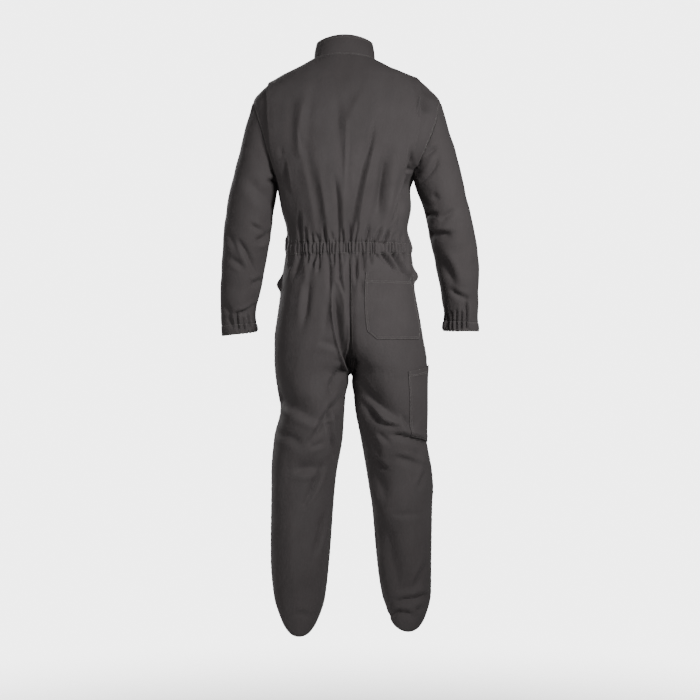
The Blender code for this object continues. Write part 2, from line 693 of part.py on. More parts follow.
def make_waistband():
    halves = []
    columns = RUFFLES
    drops = np.linspace(BAND_TOP_DROP + EDGE, BAND_FOOT_DROP - EDGE, 3)
    for side in (RIGHT, LEFT):
        first = inset(side, np.zeros(3), drops, EDGE)
        angles = spread(first, np.full(3, math.pi / 2), columns)
        share = np.linspace(0, 1, columns + 1)
        ruffle = RUFFLE_DEPTH * np.where(np.arange(columns + 1) % 2 == columns % 2, 1.0, -1.0)
        relief = BAND_LIFT * smooth_step(share / 0.05) + ruffle * smooth_step(share / 0.08)
        swell = np.array([0.75, 1.0, 0.75])[:, None]
        halves.append(body_cloth(side, angles, drops, relief[None, :] * swell))
    right, left = halves
    left.points, left.normal = left.points[:, ::-1], left.normal[:, ::-1]
    left.points, left.normal = left.points[:, 1:], left.normal[:, 1:]
    join_columns(right, left).wall("waistband_back", level_rows=(0, -1))


# ---- collar


def neck_line(turn):
    """The neck seam: turn 0 is at the left, a quarter turn is at the back."""
    on_left = np.cos(turn) >= 0
    left = body(LEFT, np.where(on_left, np.arcsin(np.sin(turn)), 0.0), np.zeros_like(turn))
    right = body(RIGHT, np.where(on_left, 0.0, np.arcsin(np.sin(turn))), np.zeros_like(turn))
    return np.where(on_left[..., None], left, right)


def collar(_side, turn, height):
    """The stand collar, from the neck seam (0) to its top edge (1)."""
    sine = np.sin(turn)
    top_y = COLLAR_MID_Y + np.where(sine > 0, COLLAR_BACK, COLLAR_FRONT) * sine
    rise = np.where(sine > 0, COLLAR_RISE_BACK, COLLAR_RISE_FRONT) * sine ** 2
    top = stack(COLLAR_MID_X + COLLAR_HALF_WIDTH * np.cos(turn), top_y, COLLAR_SIDE_Z + rise)
    share = height[..., None]
    return neck_line(turn) * (1 - share) + top * share


def collar_turn(distance):
    """The turn at the front where the collar is this far from the middle, to the left."""
    return -math.acos(distance / COLLAR_HALF_WIDTH)


def collar_cloth():
    """The whole collar, from its left front edge round the back to its right one."""
    drops = np.array([NECK_DROP])
    edge = collar_turn(ZIP_HALF_GAP)
    back = spread(inset(LEFT, np.zeros(1), drops, EDGE), np.full(1, math.pi / 2), CENTRE_BACK_COLUMNS)[0]
    front = spread(np.zeros(1), np.full(1, edge), FRONT_COLUMNS)[0]
    left_half = np.concatenate([front[::-1], back[1:]])
    right_half = math.pi - left_half[::-1]
    turns, heights = np.meshgrid(np.concatenate([left_half, right_half[1:]]), [0.0, 0.5, 1.0])
    cloth = Cloth(collar(LEFT, turns, heights), -normals(LEFT, collar, turns, heights))
    cloth.points[0, :, 2] += SEAM_GAP
    return cloth


# ---- sleeves and cuffs


def sleeve_cloth(side, turns, alongs):
    turns, alongs = np.meshgrid(turns, alongs)
    return Cloth(sleeve(side, turns, alongs), normals(side, sleeve, turns, alongs))


def make_sleeve(side):
    columns = 2 * ARM_STEPS
    turns = np.arange(columns) * 2 * math.pi / columns
    alongs = np.linspace(0, 1, SLEEVE_ROWS_ALONG + 1) * (CUFF_TOP - ARMHOLE_START) + ARMHOLE_START
    cloth = sleeve_cloth(side, turns, alongs)
    inner_half = smooth_step(0.5 - np.cos(turns))
    wave = np.where(np.arange(columns) % 2 == 0, 1.0, -1.0) * inner_half
    fade = smooth_step((alongs - CUFF_TOP + 0.10) / 0.10)
    relief = SLEEVE_GATHER_DEPTH * fade[:, None] * wave[None, :]
    cloth.points = cloth.points + cloth.normal * relief[..., None]
    cloth.wall("sleeve_" + side_name(side), closed=True)


def make_cuff(side):
    plain = np.linspace(-math.pi / 2, math.pi / 2, CUFF_PLAIN_COLUMNS + 1)
    gathered = np.linspace(math.pi / 2, 3 * math.pi / 2, 2 * CUFF_GATHERS + 1)[1:-1]
    wave = np.concatenate([np.zeros_like(plain), np.where(np.arange(len(gathered)) % 2 == 0, 1.0, -1.0)])
    alongs = np.array([CUFF_TOP + 0.001, (CUFF_TOP + 1) / 2, 1.0])
    cloth = sleeve_cloth(side, np.concatenate([plain, gathered]), alongs)
    cloth.points = cloth.points + cloth.normal * (CUFF_GATHER_DEPTH * wave)[None, :, None]
    cloth.wall("cuff_" + side_name(side), closed=True)


# ---- trousers and what lies on them


def trouser_drops():
    return np.array([BAND_FOOT_DROP, *SEAT_DROPS, CROTCH_DROP, *LEG_DROPS, HEM_DROP])


def trouser_back(side):
    drops = trouser_drops()
    drops[0] += SEAM_GAP
    first = inset(side, np.zeros_like(drops), drops, EDGE)
    last = angle_at(side, EDGE, drops)
    last = np.where(drops > CROTCH_DROP, inset(side, np.full_like(drops, math.pi), drops, -EDGE), last)
    shares = np.array(TROUSER_BACK_SHARES[side])
    angles = first[:, None] * (1 - shares) + last[:, None] * shares
    away = (last[:, None] - angles) * 0.13
    side_away = angles * 0.13
    waves = gather(len(shares), drops, BAND_FOOT_DROP, GATHER_DOWN, np.minimum(away + 0.01, side_away))
    return body_cloth(side, angles, drops, waves, split=True)


def trouser_front(side):
    """A front trouser panel, from its front edge or inside leg to its side seam."""
    drops = trouser_drops()
    drops = np.array([WAIST_DROP + SEAM_GAP, *drops])
    half_gap = np.where(drops <= ZIP_FOOT_DROP, ZIP_HALF_GAP, EDGE)
    first = front_edge(side, drops, half_gap)
    first = np.where(drops > CROTCH_DROP, inset(side, np.full_like(drops, -math.pi), drops, EDGE), first)
    last = inset(side, np.zeros_like(drops), drops, -EDGE)
    shares = np.array(TROUSER_FRONT_SHARES)
    angles = first[:, None] * (1 - shares) + last[:, None] * shares
    return body_cloth(side, angles, drops, split=True)


def nearest_row(drops, drop):
    return int(np.argmin(np.abs(drops - drop)))


def sub_cloth(cloth, rows, columns):
    """A part of a grid, between two rows and two columns."""
    picked = np.s_[rows[0]:rows[1] + 1, columns[0]:columns[1] + 1]
    return Cloth(cloth.points[picked], cloth.normal[picked])


def add_patch(name, cloth, cut_corners, base, finish_name="twill"):
    """A pocket on a panel: its cells, less the halves of the corner cells named."""
    rows, columns = cloth.points.shape[:2]
    place = {"foot_first": (rows - 1) * columns, "foot_last": rows * columns - 1}
    dropped = {place[corner] for corner in cut_corners}
    faces = grid_faces(rows, columns)
    kept = []
    for first, second in zip(faces[::2], faces[1::2]):
        around = [*first, second[2]]
        if dropped.isdisjoint(around):
            kept += [first, second]
        else:
            kept.append(tuple(v for v in around if v not in dropped))
    outer, inner = cloth.moved(base + CLOTH), cloth.moved(base)
    add_wall(name, outer.reshape(-1, 3), inner.reshape(-1, 3), kept, finish_name)


def make_trousers(side):
    drops = trouser_drops()
    back, front = trouser_back(side), trouser_front(side)
    back.wall("trouser_back_" + side_name(side), level_rows=(0,))
    front.wall("trouser_front_" + side_name(side), level_rows=(0,))
    make_side_pocket(side, drops)
    if side == RIGHT:
        rows = [nearest_row(drops, d) for d in HIP_POCKET_DROPS]
        hip = sub_cloth(back, rows, HIP_POCKET_COLUMNS)
        add_patch("hip_pocket", hip, ("foot_first", "foot_last"), LAYER_GAP)
        rows = [nearest_row(drops, d) for d in TOOL_POCKET_DROPS]
        behind = sub_cloth(back, rows, (0, TOOL_POCKET_BACK_COLUMNS))
        side_seam = len(TROUSER_FRONT_SHARES) - 1
        front_rows = [row + 1 for row in rows]
        before = sub_cloth(front, front_rows, (side_seam - TOOL_POCKET_FRONT_COLUMNS, side_seam - 1))
        add_patch("tool_pocket", join_columns(before, behind), (), LAYER_GAP)


def make_side_pocket(side, drops):
    """The dark cloth inside a pocket's mouth, just under the two trouser panels."""
    picked = drops[(drops > BAND_FOOT_DROP) & (drops < MOUTH_FOOT_DROP + 0.04)]
    angles = np.linspace(-0.22, 0.05, 4) + np.zeros((len(picked), 1))
    grid = picked[:, None] + np.zeros_like(angles)
    points = smooth_body(side, angles, grid)
    normal = normals(side, smooth_body, angles, grid)
    cloth = Cloth(points, normal)
    cloth.wall("side_pocket_" + side_name(side), base=-CLOTH - POCKET_INSET, finish_name="pocketing")


# ---- zip


def mitred(first, second):
    """A direction that keeps its distance from both of two walls that meet at a seam."""
    return (first + second) / (1 + np.sum(first * second, axis=-1, keepdims=True))


def between(first, second, share):
    return first * (1 - share) + second * share


def zip_edge(side):
    """The front's edge and the column beside it, from the collar's top to the zip's foot."""
    edge = [0, 1] if side == LEFT else [-1, -2]
    neck, chest, lap = collar_cloth(), front_cloth(side), trouser_front(side)
    foot = nearest_row(trouser_drops(), ZIP_FOOT_DROP) + 2
    seam = mitred(neck.normal[0, edge], chest.normal[-1, :2])
    points = [neck.points[2:0:-1, edge], chest.points[:0:-1, :2], lap.points[:foot, :2]]
    normal = [neck.normal[2:0:-1, edge], seam[None], chest.normal[-2:0:-1, :2], lap.normal[:foot, :2]]
    return Cloth(np.concatenate(points), np.concatenate(normal))


def make_tape(side, edge):
    """A zip tape, lying behind the first cells of the front's edge."""
    width = np.linalg.norm(edge.points[:, 1] - edge.points[:, 0], axis=-1)[:, None]
    share = (np.array([TAPE_INNER, TAPE_OUTER]) - ZIP_HALF_GAP) / width
    points = between(edge.points[:, :1], edge.points[:, 1:], share[..., None])
    normal = between(edge.normal[:, :1], edge.normal[:, 1:], share[..., None])
    tape = Cloth(points, normal)
    name = "zip_tape_" + side_name(side)
    tape.wall(name, base=-CLOTH - TAPE_INSET, thick=TAPE_THICK, finish_name="tape")


def make_chain(left, right):
    """The closed teeth between the two edges, and their middle line."""
    share = (ZIP_HALF_GAP + CHAIN_HALF * np.array([1, -1])) / (2 * ZIP_HALF_GAP)
    share = share[None, :, None]
    points = between(right.points[:, :1], left.points[:, :1], share)
    normal = between(right.normal[:, :1], left.normal[:, :1], share)
    top = 2 * CHAIN_TOP - 1
    points[0], normal[0] = between(points[1], points[0], top), between(normal[1], normal[0], top)
    chain = Cloth(points, normal)
    chain.wall("zip_chain", base=-CHAIN_FRONT, thick=CHAIN_BACK - CHAIN_FRONT, finish_name="zip_teeth")
    return points.mean(axis=1)


def zip_place(line, first, second, share):
    """A place on the zip with its axes: across, up the zip, and out of the chest."""
    across = np.array([1.0, 0, 0])
    up = unit((line[first] - line[second]) * [0, 1, 1])
    return between(line[second], line[first], share), across, up, np.cross(across, up)


def boxes_to_object(name, boxes, finish_name, place):
    """Boxes that touch face to face, welded into one solid and set on the zip."""
    centre, across, up, out = place
    cuts = [sorted({b[k][axis] for b in boxes for k in (0, 1)}) for axis in range(3)]
    filled = set()
    for low, high in boxes:
        spans = [
            [i for i in range(len(cuts[a]) - 1) if low[a] <= cuts[a][i] < high[a]]
            for a in range(3)
        ]
        filled |= {(i, j, k) for i in spans[0] for j in spans[1] for k in spans[2]}
    index, points, faces = {}, [], []

    def corner(i, j, k):
        if (i, j, k) not in index:
            index[(i, j, k)] = len(points)
            local = (cuts[0][i], cuts[1][j], cuts[2][k])
            points.append(centre + across * local[0] + up * local[1] + out * local[2])
        return index[(i, j, k)]

    for cell in sorted(filled):
        for axis in range(3):
            for step in (-1, 1):
                beside = list(cell)
                beside[axis] += step
                if tuple(beside) in filled:
                    continue
                fixed = cell[axis] + (step > 0)
                other = [a for a in range(3) if a != axis]
                ring = []
                for p, q in ((0, 0), (1, 0), (1, 1), (0, 1)):
                    at = [0, 0, 0]
                    at[axis] = fixed
                    at[other[0]] = cell[other[0]] + p
                    at[other[1]] = cell[other[1]] + q
                    ring.append(corner(*at))
                faces.append(tuple(ring))
    return add_object(name, points, faces, finish_name)


# Slider and pull tab, each as boxes (low, high) across, up and out from the slider's centre
SLIDER_BOXES = [
    ((-0.0042, -0.0055, 0.0004), (0.0042, 0.0055, 0.0016)),
    ((-0.0042, -0.0055, -0.0048), (0.0042, 0.0055, -0.0036)),
    ((-0.0008, 0.0034, -0.0036), (0.0008, 0.0055, 0.0004)),
    ((-0.0010, -0.0036, 0.0016), (0.0010, -0.0024, 0.0035)),
    ((-0.0010, 0.0024, 0.0016), (0.0010, 0.0036, 0.0035)),
    ((-0.0010, -0.0036, 0.0035), (0.0010, 0.0036, 0.0046)),
]
STOP_BOXES = [((-CHAIN_HALF, -0.0048, -0.0032), (CHAIN_HALF, -0.0005, 0.0005))]
TAB_AXIS = (0.0, -0.0013, 0.0026)
TAB_HALF_THICK = 0.0006
TAB_WINDOW = 0.0064
TAB_LENGTH = 0.0260
TAB_HALF_WIDTH = 0.0030
TAB_HALF_WINDOW = 0.0016


def tab_boxes():
    up, out, half = TAB_AXIS[1], TAB_AXIS[2], TAB_HALF_THICK
    low, high = out - half, out + half
    foot = up - TAB_LENGTH
    return [
        ((-TAB_HALF_WIDTH, up - half, low), (TAB_HALF_WIDTH, up + half, high)),
        ((-TAB_HALF_WIDTH, up - TAB_WINDOW, low), (-TAB_HALF_WINDOW, up - half, high)),
        ((TAB_HALF_WINDOW, up - TAB_WINDOW, low), (TAB_HALF_WIDTH, up - half, high)),
        ((-TAB_HALF_WIDTH, foot, low), (TAB_HALF_WIDTH, up - TAB_WINDOW, high)),
    ]


def make_zip():
    left, right = zip_edge(LEFT), zip_edge(RIGHT)
    make_tape(LEFT, left)
    make_tape(RIGHT, right)
    line = make_chain(left, right)
    share = (SLIDER_AT - 0.5) / (CHAIN_TOP - 0.5)
    place = zip_place(line, 0, 1, share)
    boxes_to_object("zip_slider", SLIDER_BOXES, "zip_metal", place)
    make_tab(place)
    boxes_to_object("zip_stop", STOP_BOXES, "zip_metal", zip_place(line, -2, -1, 0))


def make_tab(place):
    """The pull tab, with its origin on the bar that it swings about."""
    centre, across, up, out = place
    tab = boxes_to_object("zip_pull", tab_boxes(), "zip_metal", place)
    axis = centre + up * TAB_AXIS[1] + out * TAB_AXIS[2]
    for vertex in tab.data.vertices:
        vertex.co = [vertex.co[i] - axis[i] for i in range(3)]
    tab.location = [float(c) for c in axis]


def main():
    for old in list(bpy.data.objects):
        bpy.data.objects.remove(old)
    collar_cloth().wall("collar")
    make_centre_back()
    make_waistband()
    for side in (LEFT, RIGHT):
        make_side_back(side)
        front_cloth(side).wall("front_" + side_name(side), level_rows=(0,))
        make_sleeve(side)
        make_cuff(side)
        make_trousers(side)
    make_zip()


main()
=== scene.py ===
"""Looks of a work boiler suit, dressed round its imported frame.

Units are metres. +Z is up, the garment faces -Y and the wearer's left is at +X. A point of
the body is found from a sign (+1 on the left, -1 on the right), a drop (the distance down
the side from the neck) and an angle round that side: zero at the side seam, positive
towards the back and negative towards the front.
"""

import json
import logging
import math
from dataclasses import dataclass, field
from enum import IntEnum

import bpy
import numpy as np
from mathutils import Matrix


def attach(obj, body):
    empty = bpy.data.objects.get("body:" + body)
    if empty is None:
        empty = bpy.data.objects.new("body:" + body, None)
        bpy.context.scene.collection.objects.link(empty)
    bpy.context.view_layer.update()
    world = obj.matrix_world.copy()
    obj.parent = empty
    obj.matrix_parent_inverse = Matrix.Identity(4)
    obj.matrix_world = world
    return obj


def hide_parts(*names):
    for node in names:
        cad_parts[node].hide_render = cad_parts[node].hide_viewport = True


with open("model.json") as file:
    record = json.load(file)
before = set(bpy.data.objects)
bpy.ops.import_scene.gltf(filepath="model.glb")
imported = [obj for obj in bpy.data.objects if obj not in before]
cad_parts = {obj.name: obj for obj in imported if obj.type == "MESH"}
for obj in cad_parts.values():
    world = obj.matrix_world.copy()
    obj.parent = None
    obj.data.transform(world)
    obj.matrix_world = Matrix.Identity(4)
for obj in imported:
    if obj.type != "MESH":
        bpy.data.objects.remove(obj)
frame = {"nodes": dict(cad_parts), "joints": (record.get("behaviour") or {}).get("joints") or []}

LOG = logging.getLogger("boiler_suit")
Array = np.ndarray
Points = tuple[Array, Array]
Place = tuple[Array, Array, Array, Array]
Rows = tuple[tuple[float, ...], ...]


class Side(IntEnum):
    """The wearer's side that a piece is on."""

    LEFT = 1
    RIGHT = -1

    @property
    def label(self) -> str:
        """The side's name as it stands in node names."""
        return self.name.lower()


class Body(IntEnum):
    """The moving bodies that pieces ride on."""

    SUIT = 0
    PULL_TAB = 1

    @property
    def label(self) -> str:
        """The body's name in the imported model."""
        return self.name.lower()


# ---- sizes that several pieces share

# The gap along a seam is below zero, as its two cloths overlap, and each has half of it
SEAM_GAP = -0.00010
EDGE = SEAM_GAP / 2

# The solids' thickness, the share of a shell's thickness that its rim rolls in by, the length
# of a radian round the neck and the waist, and the bend that is shaded as an edge
CLOTH = 0.0015
ROLL_SHARE = 0.30
NECK_RADIUS = 0.12
WAIST_RADIUS = 0.16
SHARP_ANGLE = math.radians(55)

# How far down each line of the garment lies
SHOULDER_DROP = 0.200
PLEAT_TOP_DROP = 0.104
ARMPIT_DROP = 0.435
BAND_TOP_DROP = 0.592
WAIST_DROP = 0.608
BAND_FOOT_DROP = 0.624
CROTCH_DROP = 0.943
HEM_DROP = 1.585
ZIP_FOOT_DROP = 0.780
PLEAT_START_DROP = PLEAT_TOP_DROP + 0.001

# The zip's opening, the armhole's reach round the side and its points, and how far a panel
# runs on under the waistband
ZIP_HALF_GAP = 0.0040
ARM_BACK_ANGLE = 0.51
ARM_FRONT_ANGLE = 0.47
ARM_STEPS = 56
TUCK = 0.0035

# The camera's place behind the garment and the height that it sees there
VIEW_DISTANCE = 5.0
VIEW_HEIGHT = -0.783
VIEW_ACROSS = -0.0054
VIEW_SPAN = 1.89
SENSOR = 36.0

# Distances from a sewn edge where the cloth has a line of points: the roll, two stitch rows
HEM_LINES = (0.0, 0.0007, 0.0019, 0.0042, 0.0066, 0.0084)
FIRST_STITCH = 2
SECOND_STITCH = 4
STITCH_ROWS = (FIRST_STITCH, SECOND_STITCH)

# A column well inside the cloth, the small step that slopes are measured over, the places
# that a row's length is measured at, and how wide the creases fade beside the side seam
BESIDE = 8
NUDGE = 1e-3
SAMPLES = 81
SIDE_FADE = 0.28


# ---- arithmetic


def smooth_step(t: Array) -> Array:
    """Rise smoothly from 0 to 1 as t goes from 0 to 1."""
    t = np.clip(t, 0, 1)
    return t * t * (3 - 2 * t)


def bell(t: Array) -> Array:
    """A soft hump that is 1 at 0 and dies away by about 2."""
    return np.exp(-(np.asarray(t, float) ** 2))


def unit(vectors: Array) -> Array:
    """The vectors at a length of one."""
    return vectors / np.maximum(np.linalg.norm(vectors, axis=-1, keepdims=True), 1e-12)


def signs(side: int, like: Array) -> Array:
    """The side's sign, once for each of the numbers."""
    return int(side) + np.zeros_like(like)


def armhole_share(drop: Array) -> Array:
    """How far down the armhole a drop is, from 0 to 1."""
    return np.clip((drop - SHOULDER_DROP) / (ARMPIT_DROP - SHOULDER_DROP), 0, 1)


def armhole_drop(turn: Array) -> Array:
    """The drop of the armhole's edge, from its top (0) to the armpit (pi)."""
    return SHOULDER_DROP + (ARMPIT_DROP - SHOULDER_DROP) * (1 - np.cos(turn)) / 2


def armhole_angle(drop: Array, widest: float) -> Array:
    """How far round from the side the armhole cuts at a drop."""
    share = armhole_share(drop)
    return widest * 2 * np.sqrt(share * (1 - share))


def armhole_groove(away: Array | float, drop: Array) -> Array:
    """How far the cloth beside the armhole sinks towards its seam."""
    share = armhole_share(drop)
    ends = smooth_step(share / 0.06) * smooth_step((1 - share) / 0.06)
    return -0.0027 * ends * bell(np.asarray(away) / 0.0032)


def tucked(past: Array) -> Array:
    """How far a panel that runs on under another one steps in, past the seam."""
    return -0.0022 * smooth_step((past + 0.0008) / 0.0012)


def stack(x: Array, y: Array, z: Array) -> Array:
    """Points from their three coordinates."""
    return np.stack(np.broadcast_arrays(x, y, z), axis=-1).astype(float)


def wave(at: Array, seed: float) -> Array:
    """An uneven wave about zero with a mean length of one.

    Args:
        at: Where to read it, in wave lengths.
        seed: Picks one wave of many.

    Returns:
        Heights between about -1 and 1.
    """
    total = 0.0
    for rate, share, shift in ((1.0, 0.55, 1.7), (1.618, 0.30, 2.9), (0.618, 0.35, 4.3)):
        total = total + share * np.sin(2 * math.pi * rate * at + shift * seed + shift)
    return total


def smooth_curve(xs: Array, ys: Array, at: Array) -> Array:
    """A monotone cubic through points.

    Args:
        xs: Rising places of the points.
        ys: Their values.
        at: Where to read the curve.

    Returns:
        The curve's values there.
    """
    step = np.diff(xs)
    slope = np.diff(ys) / step
    tangent = np.zeros_like(ys)
    tangent[0] = slope[0]
    tangent[-1] = slope[-1]
    same = slope[:-1] * slope[1:] > 0
    near = (2 * step[1:] + step[:-1])[same]
    far = (step[1:] + 2 * step[:-1])[same]
    tangent[1:-1][same] = (near + far) / (near / slope[:-1][same] + far / slope[1:][same])
    at = np.clip(at, xs[0], xs[-1])
    i = np.clip(np.searchsorted(xs, at, side="right") - 1, 0, len(xs) - 2)
    t = (at - xs[i]) / step[i]
    start = (1 + 2 * t) * (1 - t) ** 2 * ys[i] + t * (1 - t) ** 2 * step[i] * tangent[i]
    end = t * t * (3 - 2 * t) * ys[i + 1] + t * t * (t - 1) * step[i] * tangent[i + 1]
    return start + end


def distances(line: Array) -> Array:
    """How far along a line each of its points is."""
    return np.concatenate([[0], np.cumsum(np.linalg.norm(np.diff(line, axis=0), axis=1))])


def read_line(at: Array, far: Array, values: Array) -> Array:
    """Points or directions read at distances along a line."""
    return np.stack([np.interp(at, far, values[:, k]) for k in range(3)], axis=1)


def steps(
    first: float, last: float, step: float, lines: tuple[float, ...] = (), close: bool = True
) -> Array:
    """Places from first to last, evenly spaced, with extra ones close to both ends.

    Args:
        first: The first place.
        last: The last place.
        step: The widest spacing.
        lines: Distances from each end that also get a place.
        close: Whether the last end gets the extra places too.

    Returns:
        The rising or falling places.
    """
    turn = 1 if last > first else -1
    span = abs(last - first)
    reach = lines[-1] if lines else 0.0
    far = reach if close else 0.0
    middle = np.linspace(reach, span - far, max(2, int(round((span - reach - far) / step)) + 1))
    places = [*lines[:-1], *middle]
    if close and lines:
        places += [span - line for line in reversed(lines[:-1])]
    return first + turn * np.array(places)


def rows_of(text: str) -> Rows:
    """The rows of numbers in a text, whose lines may hold a remark after a #."""
    cells = (line.partition("#")[0].split() for line in text.splitlines())
    return tuple(tuple(float(cell) for cell in row) for row in cells if row)


@dataclass(frozen=True)
class Table:
    """Rows of named columns, read as smooth curves along the first column."""

    columns: str
    rows: Rows

    def read(self, name: str, at: Array) -> Array:
        """A column read at places along the first one."""
        numbers = np.array(self.rows, float)
        column = numbers[:, self.columns.split().index(name)]
        return smooth_curve(numbers[:, 0], column, np.asarray(at, float))


# ---- the forms

BODY_TABLE = Table(
    "drop z outer_left outer_right mid_x split gap_left gap_right back front mid_y "
    "rise_back rise_front tilt lift",
    rows_of("""
    0.000 0.000 0.0925 0.0735 0.0095 0 0 0 0.068 0.072 -0.008 0.0085 -0.045 0 0
    0.047 -0.020 0.131 0.113 0.0085 0 0 0 0.080 0.084 -0.006 0.006 -0.034 0 0
    0.110 -0.050 0.189 0.184 0.007 0 0 0 0.095 0.098 -0.002 0.003 -0.019 0 0
    0.156 -0.080 0.228 0.220 0.006 0 0 0 0.106 0.106 0 0.001 -0.008 0 0
    0.200 -0.115 0.255 0.249 0.0055 0 0 0 0.114 0.112 0 0 0 0 0
    0.245 -0.160 0.258 0.256 0.005 0 0 0 0.124 0.119 0 0 0 0 0
    0.285 -0.200 0.254 0.250 0.0045 0 0 0 0.131 0.125 0 0 0 0 0.001
    0.338 -0.250 0.238 0.230 0.004 0 0 0 0.138 0.130 0 0 0 0 0.006
    0.393 -0.300 0.214 0.202 0.0035 0 0 0 0.142 0.132 0 0 0 0 0.015
    0.435 -0.340 0.192 0.1796 0.003 0 0 0 0.142 0.132 0 0 0 0 0.022
    0.468 -0.373 0.185 0.1675 0.002 0 0 0 0.139 0.130 0 0 0 0 0.018
    0.500 -0.405 0.179 0.170 0.001 0 0 0 0.136 0.127 0 0 0 0 0.011
    0.555 -0.460 0.165 0.160 -0.001 0 0 0 0.127 0.120 0 0 0 0 0.001
    0.592 -0.497 0.163 0.166 -0.002 0 0 0 0.122 0.117 0 0 0 0 0
    0.624 -0.529 0.168 0.171 -0.003 0 0 0 0.124 0.119 0 0 0 0 0
    0.708 -0.613 0.179 0.1785 -0.005 0.06 0 0 0.141 0.124 0 0 0 0 0
    0.785 -0.690 0.190 0.192 -0.006 0.18 0 0 0.150 0.124 0 0 0 0 0
    0.851 -0.756 0.198 0.203 -0.0065 0.36 0 0 0.148 0.123 0 0 0 0 0
    0.905 -0.810 0.198 0.212 -0.0068 0.66 0 0 0.141 0.121 0 0 0 0 0
    0.943 -0.848 0.1955 0.213 -0.0068 1 0 0 0.134 0.120 0 0 0 0 0
    1.000 -0.905 0.187 0.213 -0.0068 1 0.0130 0.0094 0.129 0.116 0.002 0 0 0 0
    1.035 -0.940 0.181 0.213 -0.0068 1 0.0158 0.0126 0.126 0.113 0.002 0 0 0 0
    1.110 -1.015 0.198 0.2115 -0.0068 1 0.0205 0.0270 0.118 0.106 0.002 0 0 0 0
    1.210 -1.115 0.206 0.2265 -0.0068 1 0.0375 0.0445 0.104 0.096 0.004 0 0 0 0
    1.250 -1.155 0.206 0.2290 -0.0068 1 0.0420 0.0510 0.100 0.092 0.007 0 0 0 0
    1.292 -1.197 0.2065 0.2265 -0.0068 1 0.0455 0.0575 0.097 0.088 0.009 0 0 0 0
    1.429 -1.334 0.2075 0.2240 -0.0068 1 0.0555 0.0700 0.092 0.085 0.013 0 0 0.12 0
    1.540 -1.4445 0.198 0.2225 -0.0068 1 0.0685 0.0860 0.088 0.086 0.015 0 0 0.40 0.006
    1.585 -1.490 0.178 0.210 -0.0068 1 0.0870 0.1010 0.085 0.085 0.016 0 0 0.62 0.013
"""),
)

PLEAT_TABLE = Table(
    "depth_below left right",
    rows_of("""
    0.057 0.2085 0.194
    0.167 0.205 0.184
    0.2565 0.195 0.167
    0.332 0.180 0.151
    0.416 0.160 0.130
    0.486 0.154 0.097
    0.530 0.152 0.094
"""),
)

SLEEVE_COLUMNS = "along outer_x outer_z inner_x inner_z back front mid_y"
SLEEVE_TABLES = {
    Side.LEFT: Table(
        SLEEVE_COLUMNS,
        rows_of("""
    0.00 0.254 -0.115 0.192 -0.340 0.064 0.060 0.000
    0.12 0.278 -0.190 0.194 -0.366 0.072 0.070 0.000
    0.28 0.302 -0.285 0.203 -0.424 0.078 0.076 -0.002
    0.45 0.327 -0.390 0.2105 -0.486 0.075 0.073 -0.006
    0.60 0.338 -0.487 0.220 -0.535 0.069 0.068 -0.012
    0.75 0.344 -0.580 0.234 -0.607 0.062 0.061 -0.020
    0.88 0.347 -0.660 0.248 -0.668 0.054 0.054 -0.030
    0.95 0.345 -0.700 0.2530 -0.697 0.048 0.048 -0.036
    1.00 0.3435 -0.740 0.246 -0.727 0.046 0.046 -0.040
    1.02 0.3425 -0.7555 0.2450 -0.7400 0.0455 0.0455 -0.0415
"""),
    ),
    Side.RIGHT: Table(
        SLEEVE_COLUMNS,
        rows_of("""
    0.00 0.249 -0.115 0.1796 -0.318 0.064 0.060 0.000
    0.12 0.272 -0.185 0.186 -0.354 0.072 0.070 0.000
    0.28 0.301 -0.285 0.205 -0.400 0.078 0.076 -0.002
    0.45 0.325 -0.390 0.217 -0.462 0.075 0.073 -0.006
    0.60 0.346 -0.480 0.231 -0.522 0.069 0.068 -0.012
    0.75 0.3555 -0.570 0.2455 -0.592 0.062 0.061 -0.020
    0.88 0.354 -0.650 0.2570 -0.655 0.054 0.054 -0.030
    0.95 0.3535 -0.695 0.2620 -0.688 0.048 0.048 -0.036
    1.00 0.3565 -0.726 0.2570 -0.722 0.046 0.046 -0.040
    1.02 0.3565 -0.7390 0.2570 -0.7355 0.0455 0.0455 -0.0415
"""),
    ),
}


